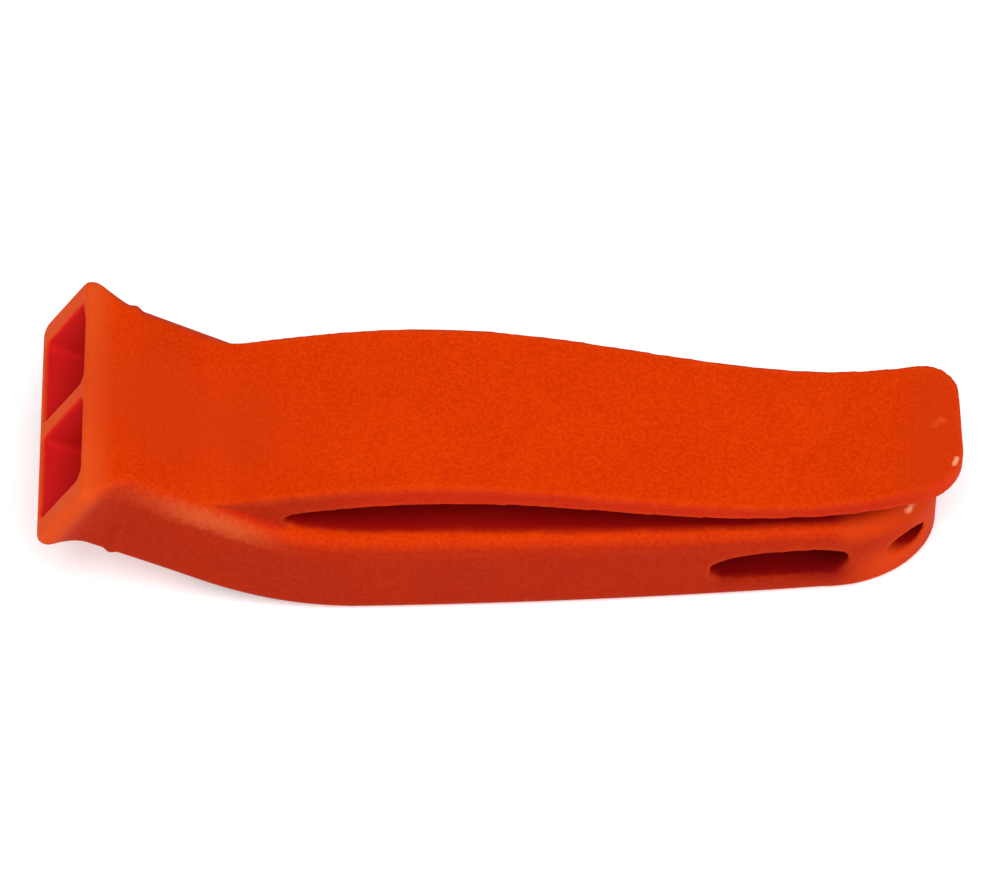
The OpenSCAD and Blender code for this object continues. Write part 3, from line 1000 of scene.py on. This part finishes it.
def cover_low(s):
    """Underside of the cover. It follows the body's and ramps up to the sounding edge."""
    return max(neck_lift(s), (COVER_T - EDGE_T) * (1 - (s - EDGE_S) / EDGE_RAMP))


cover = hollow("cover_plate", EDGE_S, COVER_END - FLAT_X,
               lambda s: both(half_width(x_at(s)) - COVER_RIM - GAP), cover_low,
               lambda s: COVER_T)
soft_edge = cover.modifiers.new("soft_edge", "BEVEL")
soft_edge.width = COVER_EDGE
soft_edge.segments = 2
soft_edge.limit_method = "ANGLE"
soft_edge.angle_limit = COVER_TURN
apply_modifiers(cover)
print("cover faces:", len(cover.data.polygons))

# %% [markdown]
# Deep places look redder and darker on the real whistle: inside the ducts, under the clip and
# in the slot the light meets plastic many times, and the material paints that shade into the
# colour. Each point gets a value for how open it lies. Rays go out in all directions, and the
# share that meets no plastic is the attribute open. One point in each half-millimetre cell is
# tested, and the rest follow it. A second attribute, up, says how much a point faces the sky.
# The material paints shade on the sides from it, while upper faces keep a lighter, yellower
# orange.

# %% How open each point lies
RAYS = 40
RAY_REACH = 14
LEAST_SLANT = 0.05
LIFT = 0.08
golden = math.pi * (3 - math.sqrt(5))
rays = [Vector((math.cos(i * golden) * math.sqrt(1 - h * h),
                math.sin(i * golden) * math.sqrt(1 - h * h), h))
        for i, h in enumerate(steps(-1, 1, RAYS - 1))]
pieces = (body, blade, mouth, cover)
corners, polygons = [], []
for piece in pieces:
    first = len(corners)
    corners += [v.co.copy() for v in piece.data.vertices]
    polygons += [[first + i for i in p.vertices] for p in piece.data.polygons]
whole = BVHTree.FromPolygons(corners, polygons)
print("rays are tested against", len(polygons), "faces")


def openness(point, outward):
    """Share of the rays, weighted by their slant, that leave without meeting plastic."""
    start = point + outward * LIFT
    slants = [(ray, ray.dot(outward)) for ray in rays]
    seen = [(ray, slant) for ray, slant in slants if slant > LEAST_SLANT]
    free = sum(slant for ray, slant in seen if whole.ray_cast(start, ray, RAY_REACH)[0] is None)
    return free / sum(slant for ray, slant in seen)


# %% [markdown]
# The values are blurred over the mesh, so that no cell shows. A cut face, such as the parting
# plane of the clip, is one large polygon that looks another way than the skin. The points on
# its border first take their value from the skin alone, or a dark line would run along the cut.

# %% Values of every point
CELL = 0.5
CUT_FACE = 0.25
OPEN_ROUNDS = 10
UP_ROUNDS = 5


def mend_borders(mesh, values):
    """Where a cut face meets the skin, the skin's own neighbours give the value."""
    skin = np.ones(len(values))
    for face in mesh.polygons:
        if face.area > CUT_FACE:
            skin[list(face.vertices)] = 0
    near = mean_of_neighbours(mesh, skin)
    mended = mean_of_neighbours(mesh, values * skin) / np.maximum(near, 1e-6)
    return np.where((skin == 0) & (near > 0), mended, values)


for piece in pieces:
    places, outward = places_and_normals(piece.data)
    cells = np.concatenate([np.floor(places / CELL), np.round(outward)], axis=1).astype(int)
    found, first, which = np.unique(cells, axis=0, return_index=True, return_inverse=True)
    tested = np.array([openness(Vector(places[i]), Vector(outward[i])) for i in first])
    smooth = blur(piece.data, mend_borders(piece.data, tested[which.ravel()]), OPEN_ROUNDS)
    keep_values(piece.data, "open", smooth)
    facing = blur(piece.data, mend_borders(piece.data, outward[:, 2]), UP_ROUNDS)
    keep_values(piece.data, "up", facing)
    print(piece.name, "cells:", len(found),
          "openness from", round(smooth.min(), 2), "to", round(smooth.max(), 2))

# %% [markdown]
# Blender and the frame count in metres, so every piece is now scaled down. It is shaded smooth
# and its sharp edges are marked, because the flat inner walls would otherwise look swollen.

# %% Into metres
SHARP = math.radians(38)
for piece in pieces:
    bm = bmesh.new()
    bm.from_mesh(piece.data)
    bmesh.ops.scale(bm, vec=(MM, MM, MM), verts=bm.verts)
    for face in bm.faces:
        face.smooth = True
    for edge in bm.edges:
        edge.smooth = len(edge.link_faces) != 2 or edge.calc_face_angle() < SHARP
    bm.to_mesh(piece.data)
    bm.free()
    triangles = sum(len(p.vertices) - 2 for p in piece.data.polygons)
    print(piece.name, "triangles:", triangles)
body.name = "body_skin"

# %% [markdown]
# The plastic is one batch of orange, but it doesn't look flat: the mould leaves a fine satin
# grain, the melt leaves faint cloudy flow marks, edges are rubbed paler with a painted
# highlight, and hollows get painted shade. Each of these effects is a small node group with
# its own inputs. A group is built once and placed in every material with that material's
# values. The helpers below add one node each, so that a group reads like a short formula.

# %% Helpers for node groups
def new_group(name, inputs, outputs):
    """Empty shader group. Inputs are (name, kind, value), outputs are (name, kind)."""
    tree = bpy.data.node_groups.new(name, "ShaderNodeTree")
    for label, kind, value in inputs:
        made = tree.interface.new_socket(label, in_out="INPUT", socket_type="NodeSocket" + kind)
        if value is not None:
            made.default_value = value
    for label, kind in outputs:
        tree.interface.new_socket(label, in_out="OUTPUT", socket_type="NodeSocket" + kind)
    return tree, tree.nodes.new("NodeGroupInput"), tree.nodes.new("NodeGroupOutput")


def math_node(tree, operation, first, second=None, third=None):
    """Math node fed by sockets or plain numbers. Returns its output."""
    made = tree.nodes.new("ShaderNodeMath")
    made.operation = operation
    for slot, value in zip(made.inputs, (first, second, third)):
        if isinstance(value, (int, float)):
            slot.default_value = value
        elif value is not None:
            tree.links.new(value, slot)
    return made.outputs[0]


def ramp(tree, value, start, end, low=0.0, high=1.0):
    """Smooth step from low to high while the value goes from start to end."""
    made = tree.nodes.new("ShaderNodeMapRange")
    made.interpolation_type = "SMOOTHSTEP"
    limits = {"From Min": start, "From Max": end, "To Min": low, "To Max": high}
    for label, number in limits.items():
        made.inputs[label].default_value = number
    tree.links.new(value, made.inputs["Value"])
    return made.outputs["Result"]


def noise(tree, vector, scale, detail, distortion=0.0):
    """Noise texture. The scale is in blobs per metre, as a socket or a number."""
    made = tree.nodes.new("ShaderNodeTexNoise")
    made.inputs["Detail"].default_value = detail
    made.inputs["Distortion"].default_value = distortion
    tree.links.new(vector, made.inputs["Vector"])
    if isinstance(scale, (int, float)):
        made.inputs["Scale"].default_value = scale
    else:
        tree.links.new(scale, made.inputs["Scale"])
    return made.outputs["Fac"]


# %% [markdown]
# The grain is a fine noise texture, like the etched steel of a mould, and the clouds are a much
# larger, slightly warped one. Both read object coordinates in metres, so they have their real
# size on every piece. The group gives both as masks and their sum as a height for the bump.

# %% Grain of the mould and clouds of the melt
GRAIN_LIMITS = (0.3, 0.7)
CLOUD_LIMITS = (0.32, 0.68)
CLOUD_WARP = 0.8
CLOUD_HEIGHT = 0.6
grain_group, given, made = new_group(
    "Moulded grain",
    [("Vector", "Vector", None), ("Grains per metre", "Float", 4200.0),
     ("Clouds per metre", "Float", 190.0)],
    [("Grain", "Float"), ("Cloud", "Float"), ("Height", "Float")])
fine = noise(grain_group, given.outputs["Vector"], given.outputs["Grains per metre"], 2.5)
cloud = noise(grain_group, given.outputs["Vector"], given.outputs["Clouds per metre"], 3.0,
              CLOUD_WARP)
height = math_node(grain_group, "MULTIPLY_ADD", cloud, CLOUD_HEIGHT, fine)
grain_group.links.new(ramp(grain_group, fine, *GRAIN_LIMITS), made.inputs["Grain"])
grain_group.links.new(ramp(grain_group, cloud, *CLOUD_LIMITS), made.inputs["Cloud"])
grain_group.links.new(height, made.inputs["Height"])
print("group:", grain_group.name, "with", len(grain_group.nodes), "nodes")

# %% [markdown]
# Rubbed edges, which also carry a painted highlight, and painted shade in sunk corners come
# from the attribute edge, which is above 0 where the skin bulges and below 0 where it is
# hollow. A patchy noise keeps the rubbing from looking painted on. The deep mask, for painted
# shade in deep places, comes from the attribute open, and the input Shade reach lets a
# material start it sooner or later.

# %% Rubbed and highlit edges, painted shade in hollows
PATCH_LIMITS = (0.35, 0.65)
LEAST_PATCH = 0.35
BULGE_LIMITS = (0.06, 0.5)
HOLLOW_LIMITS = (0.1, 0.6)
DEEP_LIMITS = (0.62, 0.3)
edge_and_shade_group, given, made = new_group(
    "Rubbed edges",
    [("Edge", "Float", 0.0), ("Open", "Float", 1.0), ("Vector", "Vector", None),
     ("Patches per metre", "Float", 650.0), ("Shade reach", "Float", 0.0)],
    [("Rubbed and highlit", "Float"), ("Hollow", "Float"), ("Deep shade", "Float")])
patches = noise(edge_and_shade_group, given.outputs["Vector"], given.outputs["Patches per metre"], 3.0)
patches = ramp(edge_and_shade_group, patches, *PATCH_LIMITS, LEAST_PATCH, 1.0)
# Rubbed wear with a painted highlight on bulging edges.
bulge = ramp(edge_and_shade_group, given.outputs["Edge"], *BULGE_LIMITS)
edge_and_shade_group.links.new(math_node(edge_and_shade_group, "MULTIPLY", bulge, patches), made.inputs["Rubbed and highlit"])
# Painted shade in hollow corners.
sunk_in = math_node(edge_and_shade_group, "MULTIPLY", given.outputs["Edge"], -1.0)
edge_and_shade_group.links.new(ramp(edge_and_shade_group, sunk_in, *HOLLOW_LIMITS), made.inputs["Hollow"])
# Painted shade in deep places, from how open a point lies.
less_open = math_node(edge_and_shade_group, "SUBTRACT", given.outputs["Open"], given.outputs["Shade reach"])
edge_and_shade_group.links.new(ramp(edge_and_shade_group, less_open, *DEEP_LIMITS), made.inputs["Deep shade"])
print("group:", edge_and_shade_group.name, "with", len(edge_and_shade_group.nodes), "nodes")

# %% [markdown]
# Hands and keys wear a whistle in certain places, and other places get painted light and
# painted shade: along a ridge, at the tail, on the tip, round the slot. Such a place is a soft
# stripe between two points. The group measures how far the surface lies from that line,
# roughens the distance with speckles and fades it out, also towards the two ends where that is
# wanted. An image mask would need an unwrapped mesh, and this needs none.

# %% Stripes of wear and painted light
SPECKLES_PER_METRE = 2600.0
END_FADE = 0.4
stripe_group, given, made = new_group(
    "Stripe of wear and painted light",
    [("Vector", "Vector", None), ("Start", "Vector", None), ("End", "Vector", None),
     ("Radius", "Float", 0.0006), ("Ragged", "Float", 0.5), ("Fading ends", "Float", 0.0)],
    [("Stripe", "Float")])


def vector_node(operation, first, second=None):
    """Vector math node in the stripe group. Returns its output, a vector or a number."""
    added = stripe_group.nodes.new("ShaderNodeVectorMath")
    added.operation = operation
    stripe_group.links.new(first, added.inputs[0])
    if second is not None:
        stripe_group.links.new(second, added.inputs["Scale" if operation == "SCALE" else 1])
    return next(o for o in added.outputs if o.enabled)


run = vector_node("SUBTRACT", given.outputs["End"], given.outputs["Start"])
off = vector_node("SUBTRACT", given.outputs["Vector"], given.outputs["Start"])
along = math_node(stripe_group, "DIVIDE", vector_node("DOT_PRODUCT", off, run),
                  vector_node("DOT_PRODUCT", run, run))
along.node.use_clamp = True
apart = vector_node("SUBTRACT", off, vector_node("SCALE", run, along))
far = math_node(stripe_group, "DIVIDE", vector_node("LENGTH", apart), given.outputs["Radius"])
speckle = noise(stripe_group, given.outputs["Vector"], SPECKLES_PER_METRE, 2.0)
speckle = math_node(stripe_group, "SUBTRACT", speckle, 0.5)
ragged = math_node(stripe_group, "MULTIPLY_ADD", speckle, given.outputs["Ragged"], far)
to_end = math_node(stripe_group, "SUBTRACT", 1.0, along)
to_end = math_node(stripe_group, "MINIMUM", along, to_end)
lost = math_node(stripe_group, "MULTIPLY", ramp(stripe_group, to_end, END_FADE, 0.0),
                 given.outputs["Fading ends"])
left = math_node(stripe_group, "SUBTRACT", 1.0, lost)
stripe = math_node(stripe_group, "MULTIPLY", ramp(stripe_group, ragged, 1.0, 0.0), left)
stripe_group.links.new(stripe, made.inputs["Stripe"])
print("group:", stripe_group.name, "with", len(stripe_group.nodes), "nodes")

# %% [markdown]
# The tones below are linear colours. One orange pigment gives all of them. Faces that look up
# keep the lighter, yellower orange, the sides get painted shade, and hollows get a dark red
# painted shade. Lip, ridge and tail get painted light. The tones of top, side and clip side
# each have a darker partner for the valleys of the grain.

# %% Tones of the plastic
MAIN_TONE = (0.66, 0.0435, 0.0005)
DARK_TONE = (0.555, 0.026, 0.0004)
# Painted shade: the side tones are darker copies of the orange for faces that don't look up.
SIDE_SHADE_TONE = (0.405, 0.0235, 0.0045)
SIDE_SHADE_DARK_TONE = (0.34, 0.0155, 0.0035)
CLIP_SIDE_SHADE_TONE = (0.51, 0.0235, 0.0035)
CLIP_SIDE_SHADE_DARK_TONE = (0.44, 0.016, 0.0025)
# Painted shade over the neck's top and the clip's tip.
PATCH_SHADE_TONE = (0.56, 0.034, 0.004)
# Rubbed edges: paler as wear and as a painted highlight.
RUBBED_HIGHLIGHT_TONE = (0.79, 0.083, 0.007)
# Painted shade for hollow corners.
HOLLOW_SHADE_TONE = (0.53, 0.014, 0.001)
# Painted shade for deep places such as the gap under the clip.
DEEP_SHADE_TONE = (0.27, 0.003, 0.003)
# Painted shade inside the cord slot, darkest of all.
SLOT_SHADE_TONE = (0.17, 0.002, 0.002)
# Painted shade inside the ducts, on faces that look up and on sides.
DUCT_SHADE_TONE = (0.60, 0.012, 0.012)
DUCT_SIDE_SHADE_TONE = (0.60, 0.013, 0.012)
# Painted highlight on the lip.
LIP_HIGHLIGHT_TONE = (0.67, 0.075, 0.012)
# Painted highlight on the neck's ridge.
RIDGE_HIGHLIGHT_TONE = (0.60, 0.105, 0.03)
# Painted light for the tail.
TAIL_LIGHT_TONE = (0.53, 0.040, 0.004)
SCUFF_TONE = (0.80, 0.30, 0.16)
FAINT_TONE = (0.76, 0.10, 0.02)
print("main tone:", MAIN_TONE, "deepest tone:", SLOT_SHADE_TONE)


# %% Helpers for colours
def mix(tree, share, first, second):
    """Colour mix. The colours are sockets or plain values."""
    added = tree.nodes.new("ShaderNodeMix")
    added.data_type = "RGBA"
    tree.links.new(share, added.inputs["Factor"])
    for label, value in (("A", first), ("B", second)):
        slot = next(i for i in added.inputs if i.name == label and i.type == "RGBA")
        if isinstance(value, tuple):
            slot.default_value = value + (1,)
        else:
            tree.links.new(value, slot)
    return next(o for o in added.outputs if o.type == "RGBA")


def attribute(tree, label):
    """Number that the points of the mesh carry. It is 0 on a piece without that attribute."""
    added = tree.nodes.new("ShaderNodeAttribute")
    added.attribute_name = label
    return added.outputs["Fac"]


def place_group(tree, group, spot, values):
    """Puts a node group into a material, with this material's values."""
    added = tree.nodes.new("ShaderNodeGroup")
    added.node_tree = group
    tree.links.new(spot, added.inputs["Vector"])
    for label, value in values.items():
        added.inputs[label].default_value = value
    return added


def lay_stripes(tree, spot, colour, stripes):
    """Lays stripes of wear, painted light and painted shade over a colour, one after the other."""
    for start, end, radius_mm, raggedness, fading, strength, tone in stripes:
        stripe = place_group(tree, stripe_group, spot, {
            "Start": [v * MM for v in start], "End": [v * MM for v in end],
            "Radius": radius_mm * MM, "Ragged": raggedness, "Fading ends": fading})
        share = math_node(tree, "MULTIPLY", stripe.outputs["Stripe"], strength)
        colour = mix(tree, share, colour, tone)
    return colour


# %% [markdown]
# One recipe makes every plastic from these groups. The base colour goes from the tones of top
# and sides, the sides with painted shade, through cloud and grain, then to the rubbed tone with
# its painted highlight on edges, to the painted highlight on the lip and to the stripes of wear
# and painted light, then to painted shade in hollow corners and deep places, and at last to
# the stripes laid over that shade. Clouds also move the roughness a little, hollows are duller,
# and grain and clouds give a very low bump. The plastic barely mirrors: a stronger sheen would
# lay a grey film over the orange.

# %% Recipe of the plastic
GRAIN_SHARE = 0.8
CLOUD_SHARE = 0.2
UP_LIMITS = (0.4, 1.0)
LIP_HIGHLIGHT_SHARE = 0.8
SHEEN_LEVEL = 0.01
DULL_DEPTHS = 0.35
RELIEF_MM = 0.05


def plastic(name, grain=3400.0, rough=(0.44, 0.56), rub_and_highlight=0.15, hollow=0.6, bump=0.15,
            reach=0.0, deep=(DEEP_SHADE_TONE, DEEP_SHADE_TONE), stripes=(), stripes_after_shade=()):
    """Satin orange plastic. The pair deep gives the painted shade of shut-in places, for faces
    that look up and for sides. The first stripes lie under that painted shade, and the second ones
    lie over it."""
    made = bpy.data.materials.new(name)
    made.use_nodes = True
    tree = made.node_tree
    shader = tree.nodes["Principled BSDF"]
    spot = tree.nodes.new("ShaderNodeTexCoord").outputs["Object"]
    surface = place_group(tree, grain_group, spot, {"Grains per metre": grain})
    edge_and_shade = place_group(tree, edge_and_shade_group, spot, {"Shade reach": reach})
    tree.links.new(attribute(tree, "edge"), edge_and_shade.inputs["Edge"])
    tree.links.new(attribute(tree, "open"), edge_and_shade.inputs["Open"])

    tone_share = math_node(tree, "MULTIPLY_ADD", surface.outputs["Grain"], GRAIN_SHARE,
                           math_node(tree, "MULTIPLY", surface.outputs["Cloud"], CLOUD_SHARE))
    # Painted shade on sides: faces that look up keep the main tone, the others get the side tones.
    looks_up = ramp(tree, attribute(tree, "up"), *UP_LIMITS)
    side = mix(tree, attribute(tree, "along_clip"),
               mix(tree, tone_share, SIDE_SHADE_DARK_TONE, SIDE_SHADE_TONE),
               mix(tree, tone_share, CLIP_SIDE_SHADE_DARK_TONE, CLIP_SIDE_SHADE_TONE))
    colour = mix(tree, looks_up, side, mix(tree, tone_share, DARK_TONE, MAIN_TONE))
    # Rubbed edges, paler as wear and as a painted highlight.
    rubbed_and_highlit = math_node(tree, "MULTIPLY", edge_and_shade.outputs["Rubbed and highlit"], rub_and_highlight)
    colour = mix(tree, rubbed_and_highlit, colour, RUBBED_HIGHLIGHT_TONE)
    # Painted highlight on the lip.
    lip_highlight = math_node(tree, "MULTIPLY", attribute(tree, "lip_highlight"), LIP_HIGHLIGHT_SHARE)
    colour = mix(tree, lip_highlight, colour, LIP_HIGHLIGHT_TONE)
    colour = lay_stripes(tree, spot, colour, stripes)
    # Painted shade in hollow corners.
    sunk_in = math_node(tree, "MULTIPLY", edge_and_shade.outputs["Hollow"], hollow)
    colour = mix(tree, sunk_in, colour, HOLLOW_SHADE_TONE)
    # Painted shade in deep places.
    colour = mix(tree, edge_and_shade.outputs["Deep shade"], colour, mix(tree, looks_up, deep[1], deep[0]))
    # Stripes laid over the painted shade, such as painted light on the tail.
    colour = lay_stripes(tree, spot, colour, stripes_after_shade)
    roughness = math_node(tree, "MULTIPLY_ADD", edge_and_shade.outputs["Deep shade"], DULL_DEPTHS,
                          ramp(tree, surface.outputs["Cloud"], 0.0, 1.0, *rough))
    tree.links.new(colour, shader.inputs["Base Color"])
    tree.links.new(roughness, shader.inputs["Roughness"])
    shader.inputs["Specular IOR Level"].default_value = SHEEN_LEVEL

    relief = tree.nodes.new("ShaderNodeBump")
    relief.inputs["Strength"].default_value = bump
    relief.inputs["Distance"].default_value = RELIEF_MM * MM
    tree.links.new(surface.outputs["Height"], relief.inputs["Height"])
    tree.links.new(relief.outputs["Normal"], shader.inputs["Normal"])
    print("material:", name, "with", len(tree.nodes), "nodes")
    return made


# %% [markdown]
# These are the places of painted light, painted shade and wear on this whistle. The ridge on
# the near side of the neck gets a painted highlight, painted shade lies over the neck and the
# tip and round the cord slot, the tail gets painted light, and two tiny scuffs on tail and tip
# show bare, pale plastic.

# %% Painted light, painted shade and worn places
RIDGE_IN = 0.13
RIDGE_DOWN = 0.5


def ridge(s):
    """Middle of the neck's rounded edge on the near side."""
    return place(s, -NECK_W / 2 + TOP_EDGE * RIDGE_IN, NECK_T - TOP_EDGE * RIDGE_DOWN)


# Each has a start, an end, a radius in mm, raggedness, fading ends, a strength and a tone.
# Painted highlight along the rounded ridge of the neck.
RIDGE_HIGHLIGHT = (ridge(SEAM_S + 1.0), ridge(-7.5), 1.5, 0.8, 1.0, 0.42, RIDGE_HIGHLIGHT_TONE)
RIDGE_HIGHLIGHT_START = (ridge(SEAM_S - 3.0), ridge(-8.0), 1.3, 1.2, 0.8, 0.25, RIDGE_HIGHLIGHT_TONE)
# Painted shade over the top of the neck.
NECK_SHADE = (place(SEAM_S - 1, 0, NECK_T), place(-15, -1, NECK_T), 9.5, 0.3, 0.0, 0.55,
             PATCH_SHADE_TONE)
# Painted shade in and round the cord slot.
SLOT_SHADE = (SLOT + Vector((-4.2, -6.9, -0.7)), SLOT + Vector((4.2, -6.3, -0.7)), 2.4, 0.2, 0.0,
              1.4, SLOT_SHADE_TONE)
TAIL_SCUFF = ((33.5, -4.2, 7.25), (34.05, -3.5, 7.4), 0.5, 0.9, 0.0, 1.7, SCUFF_TONE)
TIP_SCUFF = ((36.85, -4.35, 13.75), (36.98, -3.9, 13.9), 0.32, 0.6, 0.0, 1.5, SCUFF_TONE)
# Painted light on the tail: on its side, and on its top, where it lifts the painted shade under
# the clip's tip.
TAIL_SIDE_LIGHT = ((31.5, -5.6, 2.0), (36.9, -1.5, 4.5), 4.5, 0.2, 0.0, 1.0, TAIL_LIGHT_TONE)
TAIL_TOP_LIGHT = ((29.0, -6.2, 7.4), (35.8, -2.6, 7.2), 2.3, 0.2, 0.0, 1.0, TAIL_LIGHT_TONE)
# Painted shade over the clip's tip.
TIP_SHADE = ((35.0, -5.0, 13.0), (36.0, 3.0, 13.6), 5.0, 0.3, 0.0, 0.6, PATCH_SHADE_TONE)
TIP_RUB = ((35.4, 0.0, 13.1), (35.9, 0.3, 13.4), 0.6, 1.5, 0.0, 0.5, FAINT_TONE)
print("ridge runs from x =", round(RIDGE_HIGHLIGHT[0].x, 1), "to", round(RIDGE_HIGHLIGHT[1].x, 1))


# %% Dress the pieces
def dress(obj, material):
    """Gives the whole piece one material. The cuts left empty slots behind."""
    obj.data.materials.clear()
    obj.data.materials.append(material)
    obj.data.polygons.foreach_set("material_index", np.zeros(len(obj.data.polygons), dtype=int))


# Body: painted shade on the neck and in the slot, a painted highlight on the ridge, painted light
# on the tail and a real scuff.
dress(body, plastic("body_orange", reach=0.04, stripes_after_shade=[SLOT_SHADE, TAIL_TOP_LIGHT, TAIL_SCUFF],
                    stripes=[NECK_SHADE, RIDGE_HIGHLIGHT, RIDGE_HIGHLIGHT_START, TAIL_SIDE_LIGHT]))
dress(blade, plastic("clip_orange", reach=0.04,
                     stripes=[NECK_SHADE, TIP_SHADE, TIP_SCUFF, TIP_RUB]))
# Mouthpiece: painted shade inside the ducts, from the duct tones.
dress(mouth, plastic("lip_orange", rough=(0.4, 0.5), hollow=0.0, reach=0.37,
                     deep=(DUCT_SHADE_TONE, DUCT_SIDE_SHADE_TONE), stripes=[NECK_SHADE, RIDGE_HIGHLIGHT_START]))
dress(cover, plastic("cover_orange"))
inner = plastic("inner_orange", grain=3000.0, rough=(0.45, 0.6), bump=0.08)
for name in ("windway_block_left", "windway_block_right"):
    bpy.data.objects[name].material_slots[0].material = inner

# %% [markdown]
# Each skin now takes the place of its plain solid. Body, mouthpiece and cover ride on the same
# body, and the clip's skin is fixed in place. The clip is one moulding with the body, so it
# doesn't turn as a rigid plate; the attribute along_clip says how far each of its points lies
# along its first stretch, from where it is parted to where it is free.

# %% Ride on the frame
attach(body, "whistle")
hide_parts("body_shell")
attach(mouth, "whistle")
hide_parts("mouthpiece")
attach(cover, "whistle")
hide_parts("back_cover")
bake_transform(blade)
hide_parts("spring_clip")
